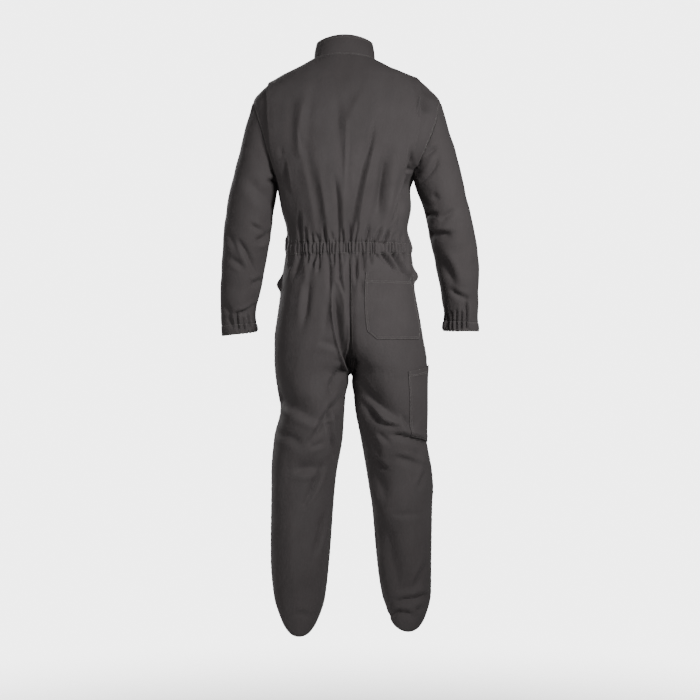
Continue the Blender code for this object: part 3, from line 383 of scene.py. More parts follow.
@dataclass(frozen=True)
class Creases:
    """Soft troughs and ridges set out on the back elevation, in millimetres.

    Lines run downwards, or from +X to -X where they are nearly level. Each row holds x0 z0
    x1 z1 (the two ends), bow (how far the line curves towards +X or down), near and far (the
    flank's width on that side and on the other one), depth (into the cloth, negative for a
    ridge), crisp (0 for a round bottom, 1 for a sharp one) and start and end (the shares of
    the depth at the two ends). A lip stands along the narrow flank's foot.
    """

    rows: Rows
    gain: float = 1.8
    lip: float = 0.30
    lip_at: float = 2.1
    lip_width: float = 1.1
    rise_share: float = 0.35
    fall_share: float = 0.40

    def height(self, points: Array) -> Array:
        """How far the creases move the cloth outwards.

        Args:
            points: Points of the smooth form.

        Returns:
            Metres outwards, one for each point.
        """
        scale = VIEW_DISTANCE / (VIEW_DISTANCE - points[..., 1])
        x = points[..., 0] * scale * 1000
        z = (VIEW_HEIGHT + (points[..., 2] - VIEW_HEIGHT) * scale) * 1000
        total = np.zeros_like(x)
        for x0, z0, x1, z1, bow, near, far, depth, crisp, start, end in self.rows:
            length = math.hypot(x1 - x0, z1 - z0)
            run_x, run_z = (x1 - x0) / length, (z1 - z0) / length
            east, north = x - x0, z - z0
            along = (east * run_x + north * run_z) / length
            t = np.clip(along, 0, 1)
            past = np.abs(along - t) * length
            across = north * run_x - east * run_z - 4 * bow * t * (1 - t)
            flank = np.abs(across) / np.where(across > 0, near, far)
            trough = np.exp(-(flank ** (2 - 0.8 * crisp)))
            thin = min(near, far)
            beside = across if near < far else -across
            lip = self.lip * bell((beside - self.lip_at * thin) / (self.lip_width * thin))
            rise = start + (1 - start) * smooth_step(t / self.rise_share)
            fall = end + (1 - end) * smooth_step((1 - t) / self.fall_share)
            strength = depth * rise * fall * bell(past / (0.7 * thin + 3))
            total = total + strength * (lip - trough)
        return total * self.gain / 1000


@dataclass(frozen=True)
class Seam:
    """How cloth lies beside a sewn edge: its groove, its felled ridge and its puckers."""

    groove: float = 0.0007
    reach: float = 0.0011
    ridge: float = 0.0
    width: float = 0.0080
    pucker: float = 0.0005
    pitch: float = 0.012
    seed: float = 1.0
    ridge_rise: float = 0.0012
    ridge_fall: float = 0.0016
    pucker_from: float = 0.0025
    pucker_at: float = 0.004
    pucker_reach: float = 0.014

    def relief(self, away: Array, along: Array) -> Array:
        """How far the cloth stands out beside the edge.

        Args:
            away: Distance from the edge.
            along: Distance along it.

        Returns:
            Metres outwards.
        """
        sunk = -self.groove * bell(away / self.reach)
        past = smooth_step((away - self.width) / self.ridge_fall)
        fell = self.ridge * smooth_step(away / self.ridge_rise) * (1 - past)
        drawn = bell((away - self.pucker_at) / self.pucker_reach)
        drawn = smooth_step(away / self.pucker_from) * drawn
        return sunk + fell + self.pucker * drawn * wave(along / self.pitch, self.seed)


@dataclass
class Layout:
    """Where the points of a panel lie on the body form, and how far each is from the edges."""

    sign: Array
    angle: Array
    drop: Array
    first: Array
    last: Array

    def joined(self, other: "Layout") -> "Layout":
        """This half followed by the other one turned round, sharing the middle column."""
        mine = (self.sign, self.angle, self.drop, self.first)
        its = (other.sign, other.angle, other.drop, other.first)
        sign, angle, drop, near = (np.concatenate([a, b[:, -2::-1]], axis=1) for a, b in zip(mine, its))
        middle = self.angle.shape[1] - 1
        far = near.copy()
        far[:, : middle + 1] = 1.0
        near[:, middle + 1 :] = 1.0
        return Layout(sign, angle, drop, near, far)


@dataclass
class Cloth:
    """A grid of points on a piece's outer face, with what the mesh and its stitches need."""

    points: Array
    outward: Array
    wear: Array
    closed: bool = False
    normal: Array = field(init=False)

    def __post_init__(self) -> None:
        """Work out the normals from the grid itself."""
        around = self.points
        if self.closed:
            around = np.concatenate([around[:, -1:], around, around[:, :1]], axis=1)
        across = np.gradient(around, axis=1)
        if self.closed:
            across = across[:, 1:-1]
        normal = unit(np.cross(np.gradient(self.points, axis=0), across))
        turn = np.sign(np.sum(normal * self.outward, axis=-1, keepdims=True))
        self.normal = normal * np.where(turn.mean() < 0, -1.0, 1.0)

    def row(self, i: int, start: int = 0, end: int | None = None) -> Points:
        """A run of one row, as points and normals."""
        points, normal = self.points[i], self.normal[i]
        if self.closed:
            points, normal = (np.concatenate([a, a[:1]]) for a in (points, normal))
        return points[start:end], normal[start:end]

    def column(self, j: int, start: int = 0, end: int | None = None) -> Points:
        """A run of one column, as points and normals."""
        return self.points[start:end, j], self.normal[start:end, j]

    def lengths(self) -> tuple[Array, Array]:
        """Distances across and along the cloth at each point, for its weave."""
        points = self.points
        if self.closed:
            points = np.concatenate([points, points[:, :1]], axis=1)
        across = np.linalg.norm(np.diff(points, axis=1), axis=-1)
        along = np.linalg.norm(np.diff(points, axis=0), axis=-1)
        across = np.concatenate([np.zeros_like(across[:, :1]), np.cumsum(across, axis=1)], axis=1)
        along = np.concatenate([np.zeros_like(along[:1]), np.cumsum(along, axis=0)], axis=0)
        return across, along

    def shell(
        self, name: str, finish: "Finish", thick: float = 0.0013, base: float = 0.0
    ) -> bpy.types.Object:
        """Make the piece as a thin closed shell with turned edges.

        Args:
            name: The piece's name.
            finish: What it is made of.
            thick: The cloth's thickness.
            base: How far its outer face stands off the grid.

        Returns:
            The new object.
        """
        rows, columns = self.points.shape[:2]
        rim = np.zeros((rows, columns), bool)
        rim[[0, -1]] = True
        if not self.closed:
            rim[:, [0, -1]] = True
        away = np.where(rim[..., None], unit(self.outward), self.normal)
        outer, inner = self.points + away * base, self.points + away * (base - thick)
        roll = away * thick * ROLL_SHARE
        outer[rim] -= roll[rim]
        inner[rim] += roll[rim]
        index = np.arange(rows * columns).reshape(rows, columns)
        if self.closed:
            index = np.concatenate([index, index[:, :1]], axis=1)
        a, b, c, d = index[:-1, :-1], index[1:, :-1], index[1:, 1:], index[:-1, 1:]
        quads = np.stack([a, b, c, d], axis=-1).reshape(-1, 4)
        across, along = self.lengths()
        flat = np.stack([across, along], axis=-1)
        corner = [flat[:-1, :-1], flat[1:, :-1], flat[1:, 1:], flat[:-1, 1:]]
        corner = np.stack(corner, axis=-2).reshape(-1, 4, 2)
        side = np.cross(outer[1, 0] - outer[0, 0], outer[0, 1] - outer[0, 0])
        flip = np.dot(side, self.normal[0, 0]) < 0
        if flip:
            quads, corner = quads[:, ::-1], corner[:, ::-1]
        count = rows * columns
        rims = [(index[0], flat[0]), (index[-1][::-1], flat[-1][::-1])]
        if not self.closed:
            rims += [(index[::-1, 0], flat[::-1, 0]), (index[:, -1], flat[:, -1])]
        faces, places = [quads, quads[:, ::-1] + count], [corner, corner[:, ::-1]]
        for ring, spots in rims:
            strip = np.stack([ring[:-1], ring[1:], ring[1:] + count, ring[:-1] + count], axis=-1)
            place = np.stack([spots[:-1], spots[1:], spots[1:], spots[:-1]], axis=-2)
            faces.append(strip[:, ::-1] if flip else strip)
            places.append(place[:, ::-1] if flip else place)
        points = np.concatenate([outer.reshape(-1, 3), inner.reshape(-1, 3)])
        wear = np.concatenate([self.wear.reshape(-1), np.zeros(count)])
        return make_mesh(name, points, np.concatenate(faces), finish, np.concatenate(places), wear)


def make_mesh(
    name: str,
    points: Array,
    faces: Array,
    finish: "Finish",
    places: Array | None = None,
    wear: Array | None = None,
    body: Body = Body.SUIT,
) -> bpy.types.Object:
    """Make a mesh piece that rides on a body.

    Args:
        name: The piece's name.
        points: Its vertices.
        faces: Its faces, all with as many corners.
        finish: What it is made of.
        places: Each corner's place on the flat cloth, in metres.
        wear: How much each vertex is lightened, from 0 to 1, partly for rubbing and partly as a painted
            highlight along edges and seams.
        body: The body that it moves with.

    Returns:
        The new object.
    """
    mesh = bpy.data.meshes.new(name)
    corners = faces.shape[1]
    mesh.vertices.add(len(points))
    mesh.vertices.foreach_set("co", points.astype(np.float32).ravel())
    mesh.loops.add(faces.size)
    mesh.loops.foreach_set("vertex_index", faces.astype(np.int32).ravel())
    mesh.polygons.add(len(faces))
    mesh.polygons.foreach_set("loop_start", np.arange(0, faces.size, corners, dtype=np.int32))
    if places is not None:
        layer = mesh.uv_layers.new(name="cloth")
        layer.data.foreach_set("uv", places.astype(np.float32).ravel())
    if wear is not None:
        layer = mesh.attributes.new("wear", "FLOAT", "POINT")
        layer.data.foreach_set("value", wear.astype(np.float32))
    mesh.update(calc_edges=True)
    mesh.validate()
    mesh.shade_smooth()
    mesh.set_sharp_from_angle(angle=SHARP_ANGLE)
    mesh.materials.append(finish.material())
    made = bpy.data.objects.new(name, mesh)
    bpy.context.scene.collection.objects.link(made)
    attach(made, body.label)
    return made


@dataclass(frozen=True)
class Gathers:
    """Puffs that the waist's elastic draws up, which run on into the cloth beside its casing."""

    count: int = 38
    low: float = -0.1665
    high: float = 0.1630
    depth: float = 0.0056
    mean: float = 0.40
    edge: float = 0.66
    fade: float = 0.014
    scallop: float = 0.0015
    scallop_reach: float = 0.005
    swell_reach: float = 0.007
    flat_from: float = -0.0700
    flat_to: float = -0.0920
    flat_fade: float = 0.003
    flat_share: float = 0.8

    def puff(self, x: Array, drop: Array) -> Array:
        """How far each puff stands up, from about -0.4 to 0.6."""
        phase = (x - self.low) / (self.high - self.low) * self.count
        phase = phase + 0.34 * wave(x / 0.061, 3.0) + 0.05 * wave(x / 0.023, 6.0)
        phase = phase + (drop - WAIST_DROP) / 0.016 * 0.16 * wave(x / 0.029, 8.0)
        strength = 0.78 + 0.34 * wave(x / 0.037, 4.0)
        patch = smooth_step((self.flat_from - x) / self.flat_fade)
        patch = patch * smooth_step((x - self.flat_to) / self.flat_fade)
        rise = 0.5 - 0.5 * np.cos(2 * math.pi * phase + 0.5 * np.sin(2 * math.pi * phase))
        return (rise**0.8 * strength - self.mean) * (1 - self.flat_share * patch)

    def beyond(self, drop: Array) -> Array:
        """How far past the casing's edges a drop is, below zero inside it."""
        return np.abs(drop - WAIST_DROP) - (BAND_FOOT_DROP - WAIST_DROP)

    def height(self, x: Array, drop: Array) -> Array:
        """How far the puffs move the cloth outwards, in metres."""
        beyond = self.beyond(drop)
        inside = self.edge + (1 - self.edge) * smooth_step(-beyond / self.swell_reach)
        outside = self.edge * bell(beyond / self.fade)
        return self.depth * np.where(beyond > 0, outside, inside) * self.puff(x, drop)

    def shift(self, x: Array, drop: Array) -> Array:
        """How far up the puffs push the casing's two edges, in metres."""
        away = np.where(drop < WAIST_DROP, 1.0, -0.6)
        return self.scallop * away * self.puff(x, drop) * bell(self.beyond(drop) / self.scallop_reach)


@dataclass(frozen=True)
class BodyForm:
    """The smooth form of the trunk and legs, and the relief that its cloth takes on."""

    table: Table
    pleats: Table
    back: Creases
    front: Creases
    gathers: Gathers = Gathers()
    trunk_square: float = 0.05
    leg_square: float = 0.02
    mouth_tops: tuple[float, float] = (0.632, 0.650)
    mouth_feet: tuple[float, float] = (0.702, 0.726)
    mouth_gape: float = 0.0132
    mouth_reach: float = 0.20
    fork: float = 0.950
    fork_dip: float = 0.0046
    fork_reach: float = 0.014
    fork_from: float = 2.5
    rumples: tuple[float, float] = (0.0011, 0.0007)
    rumple_fade: float = 0.35
    puff_fade: float = 0.12
    vent_tops: tuple[float, float] = (0.552, 0.568)
    vent_reach: tuple[float, float] = (0.046, 0.010)
    vent_foot: float = 0.606
    vent_gape: float = 0.0068

    def outline(self, sign: Array, drop: Array) -> tuple[Array, Array, Array]:
        """The middle, centre and half width of one side's section at a drop."""
        left, read = np.asarray(sign) > 0, self.table.read
        middle = sign * read("mid_x", drop)
        split = read("split", drop)
        outer = np.where(left, read("outer_left", drop), read("outer_right", drop))
        gap = np.where(left, read("gap_left", drop), read("gap_right", drop))
        half = (outer - middle - gap) / (1 + split)
        return middle, middle + gap + half * split, half

    def angle_at(self, sign: Array, distance: float, drop: Array) -> Array:
        """The angle where the section is this far from the middle line, towards the back."""
        middle, centre, half = self.outline(sign, drop)
        return np.arccos(np.clip((middle + distance - centre) / half, -1, 1))

    def smooth(self, sign: Array, angle: Array, drop: Array) -> Array:
        """Points of the form with no creases."""
        read = self.table.read
        _, centre, half = self.outline(sign, drop)
        split = read("split", drop)
        square = self.trunk_square * (1 - split) + self.leg_square * split
        bulge = 1 + square * np.sin(2 * angle) ** 2
        behind = np.asarray(angle) > 0
        depth = np.where(behind, read("back", drop), read("front", drop))
        rise = np.where(behind, read("rise_back", drop), read("rise_front", drop))
        reach = depth * np.sin(angle) * bulge
        x = centre + half * np.cos(angle) * bulge
        z = read("z", drop) + rise * np.sin(angle) ** 2 - read("tilt", drop) * reach
        lift = read("lift", drop) * (split + (1 - split) * np.cos(angle) ** 2)
        z = z + np.where(np.asarray(sign) < 0, lift, 0.0)
        return stack(sign * x, read("mid_y", drop) + reach, z)

    def normal(self, sign: Array, angle: Array, drop: Array) -> Array:
        """Outward normals of the smooth form."""
        down = self.smooth(sign, angle, drop + NUDGE) - self.smooth(sign, angle, drop - NUDGE)
        round_it = self.smooth(sign, angle + NUDGE, drop) - self.smooth(sign, angle - NUDGE, drop)
        return np.asarray(sign)[..., None] * unit(np.cross(down, round_it))

    def metres_round(self, sign: Array, angle: Array, drop: Array) -> Array:
        """Length round the section for each radian."""
        moved = self.smooth(sign, angle + NUDGE, drop) - self.smooth(sign, angle, drop)
        return np.linalg.norm(moved, axis=-1) / NUDGE

    def inset(self, sign: Array, angle: Array, drop: Array, distance: float) -> Array:
        """The angle this far round from another one."""
        return angle + distance / self.metres_round(sign, angle, drop)

    def relief(self, sign: Array, angle: Array, drop: Array, points: Array) -> Array:
        """How far creases and gaping edges move the cloth outwards."""
        back = smooth_step(np.sin(angle) / SIDE_FADE) * self.back.height(points)
        front = smooth_step(-np.sin(angle) / SIDE_FADE) * self.front.height(points)
        left = np.asarray(sign) > 0
        top, foot = (np.where(left, ends[1], ends[0]) for ends in (self.mouth_tops, self.mouth_feet))
        open_share = np.clip((drop - top) / (foot - top), 0, 1)
        ahead = smooth_step(1 + angle / self.mouth_reach) * (angle < 0)
        gape = self.mouth_gape * np.sin(math.pi * open_share**1.8) ** 2 * ahead
        top, reach = (np.where(left, ends[1], ends[0]) for ends in (self.vent_tops, self.vent_reach))
        shut = 0.75 * smooth_step((drop - self.vent_foot) / 0.014)
        shut = shut + 0.25 * smooth_step((drop - foot) / 0.02)
        vent = self.vent_gape * np.clip((drop - top) / reach, 0, 1) * (1 - shut)
        vent = vent * np.where(angle < 0, bell((angle + 0.06) / 0.14), bell((angle + 0.12) / 0.10))
        inside = smooth_step((np.abs(angle) - self.fork_from) / 0.4)
        fork = -self.fork_dip * bell((drop - self.fork) / self.fork_reach) * inside
        x, z = points[..., 0], points[..., 2]
        soft = self.rumples[0] * wave(z / 0.150 + x / 0.21, 2.0)
        soft = soft + self.rumples[1] * wave(x / 0.062 + z / 0.34, 5.0)
        soft = soft * smooth_step(np.abs(np.sin(angle)) / self.rumple_fade)
        return back + front + gape + vent + fork + soft

    def cloth_points(self, sign: Array, angle: Array, drop: Array, extra: Array | float = 0.0) -> Points:
        """Points of the cloth with all its relief, and rough outward directions."""
        points = self.smooth(sign, angle, drop)
        normal = self.normal(sign, angle, drop)
        behind = smooth_step(np.sin(angle) / self.puff_fade)
        puffs = behind * self.gathers.height(points[..., 0], drop)
        relief = self.relief(sign, angle, drop, points) + puffs + extra
        shift = behind * self.gathers.shift(points[..., 0], drop)
        return points + normal * relief[..., None] + stack(0 * shift, 0 * shift, shift), normal

    def lay(
        self,
        side: Side,
        drops: Array,
        first: Array,
        last: Array,
        step: float,
        far_lines: bool = True,
    ) -> Layout:
        """Lay a strip of cloth between two edges of the body.

        Args:
            side: The side that it is on.
            drops: The drop of each row.
            first: The angle of its first edge at each row.
            last: The angle of its last edge at each row.
            step: The widest spacing of its columns.
            far_lines: Whether the last edge is a sewn one too.

        Returns:
            Where its points lie.
        """
        share = np.linspace(0, 1, SAMPLES)
        dense = first[:, None] * (1 - share) + last[:, None] * share
        grid = drops[:, None] + np.zeros_like(dense)
        points = self.smooth(signs(side, dense), dense, grid)
        far = np.cumsum(np.linalg.norm(np.diff(points, axis=1), axis=-1), axis=1)
        far = np.concatenate([np.zeros((len(drops), 1)), far], axis=1)
        width = far[:, -1]
        count = int(round(width.max() / step)) + 1
        lines = np.array(HEM_LINES)
        at = np.arange(SAMPLES) / (SAMPLES - 1)
        rows = []
        for i, total in enumerate(width):
            shrink = min(1.0, total / (3.2 * lines[-1]))
            near = lines[:-1] * shrink
            foot = total - near[::-1] if far_lines else np.zeros(0)
            end = total - lines[-1] * shrink if far_lines else total
            middle = np.linspace(lines[-1] * shrink, end, count)
            rows.append(np.interp(np.concatenate([near, middle, foot]), far[i], at))
        share = np.array(rows)
        angle = first[:, None] * (1 - share) + last[:, None] * share
        place = np.stack([np.interp(row, at, far[i]) for i, row in enumerate(share)])
        ones = np.ones_like(angle)
        return Layout(ones * int(side), angle, drops[:, None] * ones, place, width[:, None] - place)

    def lay_back(self, drops: Array, step: float, pleated: bool) -> Layout:
        """Lay a strip over the middle of the back, between the side seams or the pleats' edges."""
        halves = []
        for side in (Side.RIGHT, Side.LEFT):
            edge = self.inset(signs(side, drops), np.zeros_like(drops), drops, EDGE)
            if pleated:
                edge = np.maximum(self.pleat_angle(side, drops), edge)
            halves.append(self.lay(side, drops, edge, np.full_like(drops, math.pi / 2), step, False))
        return halves[0].joined(halves[1])

    def panel(self, layout: Layout, extra: Array | float = 0.0, middle_edge: Array | None = None) -> Cloth:
        """Make a layout's cloth.

        Args:
            layout: Where its points lie.
            extra: How far they are moved out beyond the form's own relief.
            middle_edge: Distances from the edge that is sewn along the middle line, if one is.

        Returns:
            The cloth.
        """
        points, normal = self.cloth_points(layout.sign, layout.angle, layout.drop, extra)
        if middle_edge is not None:
            middle = self.table.read("mid_x", layout.drop) + layout.sign * EDGE
            held = bell(middle_edge / 0.006) * (layout.drop <= CROTCH_DROP + 1e-6)
            away = np.maximum(layout.sign * (points[..., 0] - middle), 0)
            points[..., 0] = middle + layout.sign * away * (1 - held)
        # The lightening mask along the panel's edges and seams: partly rubbing, partly a painted
        # highlight.
        edge = np.minimum(layout.first, layout.last)
        return Cloth(points, normal, bell(edge / 0.0035))

    def pleat_angle(self, side: Side, drop: Array) -> Array:
        """The angle of the action pleat's edge at a drop."""
        sign = signs(side, drop)
        height = -self.smooth(sign, np.zeros_like(drop) + 0.3, drop)[..., 2]
        distance = self.pleats.read(side.label, height)
        _, centre, half = self.outline(sign, drop)
        angle = np.arccos(np.clip((distance - centre) / half, -1, 1))
        return np.where(drop < PLEAT_START_DROP, 0.0, angle)

    def armhole(self, side: Side, turn: Array) -> Array:
        """The armhole's edge: turn 0 is its top, and it runs down the back to the armpit."""
        drop = armhole_drop(turn)
        widest = np.where(np.sin(turn) > 0, ARM_BACK_ANGLE, ARM_FRONT_ANGLE)
        groove = armhole_groove(0.0, drop) - Seam().groove
        return self.cloth_points(signs(side, drop), widest * np.sin(turn), drop, groove)[0]


@dataclass(frozen=True)
class SleeveForm:
    """One sleeve's form, from the armhole (0) to the cuff's mouth (1)."""

    body: BodyForm
    side: Side
    table: Table
    back: Creases
    front: Creases
    fade: float = 0.30
    relief_from: float = 0.08

    def ring(self, turn: Array, along: Array) -> Array:
        """Points of the plain sleeve."""
        read = self.table.read
        depth = np.where(np.sin(turn) > 0, read("back", along), read("front", along))
        outer_x, outer_z = read("outer_x", along), read("outer_z", along)
        inner_x, inner_z = read("inner_x", along), read("inner_z", along)
        x = (outer_x + inner_x) / 2 + np.cos(turn) * (outer_x - inner_x) / 2
        z = (outer_z + inner_z) / 2 + np.cos(turn) * (outer_z - inner_z) / 2
        return stack(int(self.side) * x, read("mid_y", along) + depth * np.sin(turn), z)

    def smooth(self, turn: Array, along: Array) -> Array:
        """Points with no creases: the armhole's own shape, fading into the rings."""
        fade = (1 - smooth_step(along / self.fade))[..., None]
        start = self.body.armhole(self.side, turn)
        return self.ring(turn, along) + fade * (start - self.ring(turn, np.zeros_like(along)))

    def cloth_points(self, turn: Array, along: Array, extra: Array | float = 0.0) -> Points:
        """Points of the cloth with all its relief, and rough outward directions."""
        points = self.smooth(turn, along)
        down = self.smooth(turn, along + NUDGE) - self.smooth(turn, along - NUDGE)
        round_it = self.smooth(turn + NUDGE, along) - self.smooth(turn - NUDGE, along)
        normal = int(self.side) * unit(np.cross(down, round_it))
        back = smooth_step(np.sin(turn) / SIDE_FADE) * self.back.height(points)
        front = smooth_step(-np.sin(turn) / SIDE_FADE) * self.front.height(points)
        soft = 0.0009 * wave(points[..., 2] / 0.090 + points[..., 1] / 0.12, 3.0 + int(self.side))
        relief = (back + front + soft) * smooth_step(along / self.relief_from) + extra
        return points + normal * relief[..., None], normal


BODY_BACK = Creases(
    rows_of("""
    # the back's long folds, from the waist towards the shoulder blades
    112 -80 132 -250 6 14 10 -3.0 0.3 0.1 0.6
    131 -235 84 -490 -3 12 9 -2.2 0.3 0.6 0.5
    150 -80 153 -275 2 18 13 2.0 0.0 0.1 0.1
    130 -180 124 -256 0 3 7 1.3 0.4 0.1 0.1
    120 -205 76 -485 3 24 14 2.4 0.1 0.0 0.7
    78 -290 50 -470 0 8 9 -2.4 0.2 0.1 0.3
    41 -290 27 -492 -5 9 7 3.6 0.3 0.0 1.1
    30 -70 16 -300 3 15 10 2.0 0.1 0.1 0.1
    -47 -75 3 -185 5 14 15 -3.4 0.2 0.1 0.5
    4 -170 10 -335 0 5 5 -1.8 0.3 0.3 0.3
    10 -320 8 -490 0 10 7 -2.2 0.2 0.2 0.4
    -76 -150 -50 -285 0 5 6 1.8 0.3 0.1 0.3
    -74 -170 -4 -493 9 15 9 4.4 0.2 0.0 0.9
    -82 -190 -25 -482 6 7 9 -2.6 0.2 0.1 0.3
    -112 -190 -46 -493 -14 13 14 4.6 0.1 0.0 0.8
    -140 -235 -82 -482 -10 14 13 -3.4 0.2 0.1 0.2
    179 -236 184 -264 0 5 6 2.0 0.2 0.1 0.1
    -200 -50 -216 -150 0 8 26 8.0 0.2 0.6 0.1
    -98 -240 -86 -440 0 11 10 5.6 0.2 0.2 0.2
    -178 -230 -140 -440 -3 4 13 8.5 0.3 0.1 0.3
    172 -274 160 -352 0 7 4 3.4 0.4 0.1 0.4
    # gathers above the waistband
    158 -470 155 -494 0 4 4 2.4 0.2 0.0 1.0
    151 -440 146 -494 0 6 5 2.8 0.2 0.0 0.9
    134 -405 126 -494 0 6 5 5.0 0.3 0.0 0.8
    118 -445 110 -494 0 5 4 3.4 0.3 0.0 1.0
    100 -465 94 -494 0 4 5 3.2 0.3 0.0 1.0
    88 -468 79 -494 0 4 5 3.8 0.3 0.0 1.0
    66 -442 60 -494 0 5 4 3.8 0.3 0.0 1.0
    47 -462 37 -494 0 4 5 3.2 0.3 0.0 1.0
    16 -450 13 -494 0 4 4 3.0 0.3 0.0 1.0
    -3 -432 -3 -494 0 4 5 2.6 0.3 0.0 1.0
    -29 -428 -18 -494 0 4 5 3.0 0.3 0.0 1.0
    -60 -440 -48 -494 0 4 5 3.0 0.3 0.0 1.0
    -92 -446 -68 -494 -2 5 5 4.4 0.4 0.0 1.0
    -113 -453 -97 -494 -1 5 4 5.4 0.4 0.0 1.0
    -132 -462 -121 -494 0 4 4 2.8 0.3 0.0 1.0
    -150 -468 -145 -494 0 4 4 2.4 0.3 0.0 1.0
    # gathers below it
    150 -526 158 -566 0 4 5 2.8 0.3 1.0 0.0
    126 -526 151 -594 0 6 7 5.0 0.4 1.0 0.1
    107 -526 112 -552 0 4 4 2.8 0.3 1.0 0.0
    88 -526 98 -562 0 6 5 4.6 0.4 1.0 0.1
    114 -540 112 -622 0 8 9 -2.2 0.2 0.3 0.1
    78 -526 82 -578 0 4 5 4.2 0.3 1.0 0.1
    54 -526 53 -642 -3 7 6 3.4 0.3 0.9 0.1
    40 -526 37 -560 0 4 4 2.8 0.3 1.0 0.0
    26 -526 24 -594 0 4 5 3.0 0.4 1.0 0.6
    24 -588 4 -647 0 4 5 2.6 0.4 0.6 0.1
    12 -526 10 -556 0 4 4 2.4 0.3 1.0 0.0
    -21 -536 -22 -604 0 4 5 4.6 0.4 0.5 0.3
    -41 -526 -42 -580 0 5 6 4.4 0.3 1.0 0.1
    -36 -590 -37 -640 0 5 6 2.6 0.3 0.2 0.1
    -60 -526 -62 -556 0 4 4 2.4 0.3 1.0 0.0
    -75 -526 -101 -553 0 4 4 2.8 0.3 1.0 0.0
    -95 -526 -138 -575 0 5 5 7.4 0.5 1.0 0.3
    -125 -526 -174 -600 2 6 6 8.4 0.5 1.0 0.5
    -151 -526 -162 -568 0 4 4 5.2 0.3 1.0 0.3
    # seat
    -4 -526 -5 -745 0 7 9 6.8 0.3 0.8 0.2
    -5 -690 -5 -842 0 2 9 6.0 0.3 0.4 1.0
    # beside the right pleat
    -201 -72 -192 -150 0 3 34 7.0 0.6 0.4 0.3
    -168 -236 -151 -345 0 3 12 6.4 0.6 0.2 0.7
    -151 -336 -124 -428 0 3 20 9.0 0.6 0.7 0.2
    -157 -308 -187 -300 0 4 9 3.6 0.4 0.6 0.4
    -168 -240 -182 -290 0 5 4 2.2 0.5 0.3 0.6
    # across the seat
    34 -612 -2 -830 13 4 22 11.6 0.5 0.2 1.0
    105 -575 125 -732 -2 8 11 5.4 0.3 0.2 0.1
    52 -632 64 -742 0 10 8 2.0 0.2 0.1 0.1
    86 -762 20 -782 -6 8 12 2.6 0.2 0.1 0.1
    42 -816 6 -812 0 6 7 1.8 0.2 0.1 0.6
    -10 -772 -66 -962 0 14 34 5.4 0.1 0.1 0.9
    # left leg
    206 -896 78 -974 8 10 34 6.8 0.3 0.5 0.6
    48 -864 40 -906 0 6 8 3.2 0.3 0.3 0.3
    42 -920 54 -984 0 7 6 3.4 0.3 0.3 0.3
    39 -1020 37 -1060 0 5 6 2.8 0.3 0.3 0.3
    16 -830 49 -896 2 8 16 6.4 0.3 0.5 0.1
    16 -912 103 -1032 0 8 9 6.6 0.4 0.7 0.4
    38 -978 73 -999 0 5 6 2.8 0.3 0.1 0.3
    194 -1006 123 -1044 -6 10 12 3.6 0.3 0.5 0.2
    50 -965 38 -1066 0 6 9 4.8 0.3 0.1 0.7
    32 -950 24 -1030 0 4 8 4.6 0.3 0.5 0.5
    108 -1050 60 -1031 0 6 8 2.6 0.2 0.1 0.1
    156 -1108 70 -1098 2 10 24 7.0 0.3 0.2 0.2
    61 -1080 118 -1199 -4 10 6 5.4 0.5 0.1 0.5
    156 -1200 143 -1484 0 32 24 -4.0 0.5 0.1 0.2
    59 -1210 94 -1354 -3 10 6 4.8 0.5 0.1 0.1
    152 -1496 96 -1506 -5 8 8 2.6 0.2 0.1 0.3
    # right leg
    -12 -842 -73 -927 2 7 7 4.4 0.5 0.5 0.1
    -22 -906 -78 -972 2 8 8 6.4 0.5 0.3 0.9
    -76 -970 -99 -981 0 4 5 2.6 0.4 0.8 0.1
    -19 -888 -176 -986 7 8 30 7.4 0.4 0.35 0.2
    -76 -978 -153 -991 5 7 6 4.0 0.5 0.8 0.1
    -107 -1011 -212 -1033 -3 9 7 6.4 0.6 0.2 0.9
    -51 -1000 -87 -1090 -5 12 8 2.6 0.2 0.0 0.3
    -59 -1073 -109 -1108 4 8 7 6.0 0.4 0.3 0.1
    -73 -1003 -118 -1037 0 6 7 2.8 0.2 0.1 0.1
    -117 -1071 -207 -1097 -3 13 7 3.8 0.2 0.1 0.4
    -56 -1060 -110 -1199 6 12 24 5.2 0.3 0.2 0.1
    -150 -958 -172 -1008 0 6 8 3.2 0.3 0.2 0.2
    -186 -1040 -190 -1120 0 14 10 3.0 0.2 0.1 0.2
    -213 -1106 -188 -1164 0 6 7 3.4 0.3 0.3 0.1
    -112 -1228 -208 -1226 0 7 9 1.8 0.3 0.1 0.3
    -88 -1225 -142 -1430 6 26 34 8.2 0.2 0.0 0.6
    -214 -1360 -177 -1433 0 7 8 4.6 0.4 0.4 0.1
    -116 -1463 -210 -1446 2 9 7 5.6 0.5 0.2 0.9
    -116 -1497 -185 -1504 -9 8 6 5.4 0.5 0.6 0.2
    -182 -1490 -204 -1475 0 7 6 3.4 0.3 0.1 0.5
""")
)

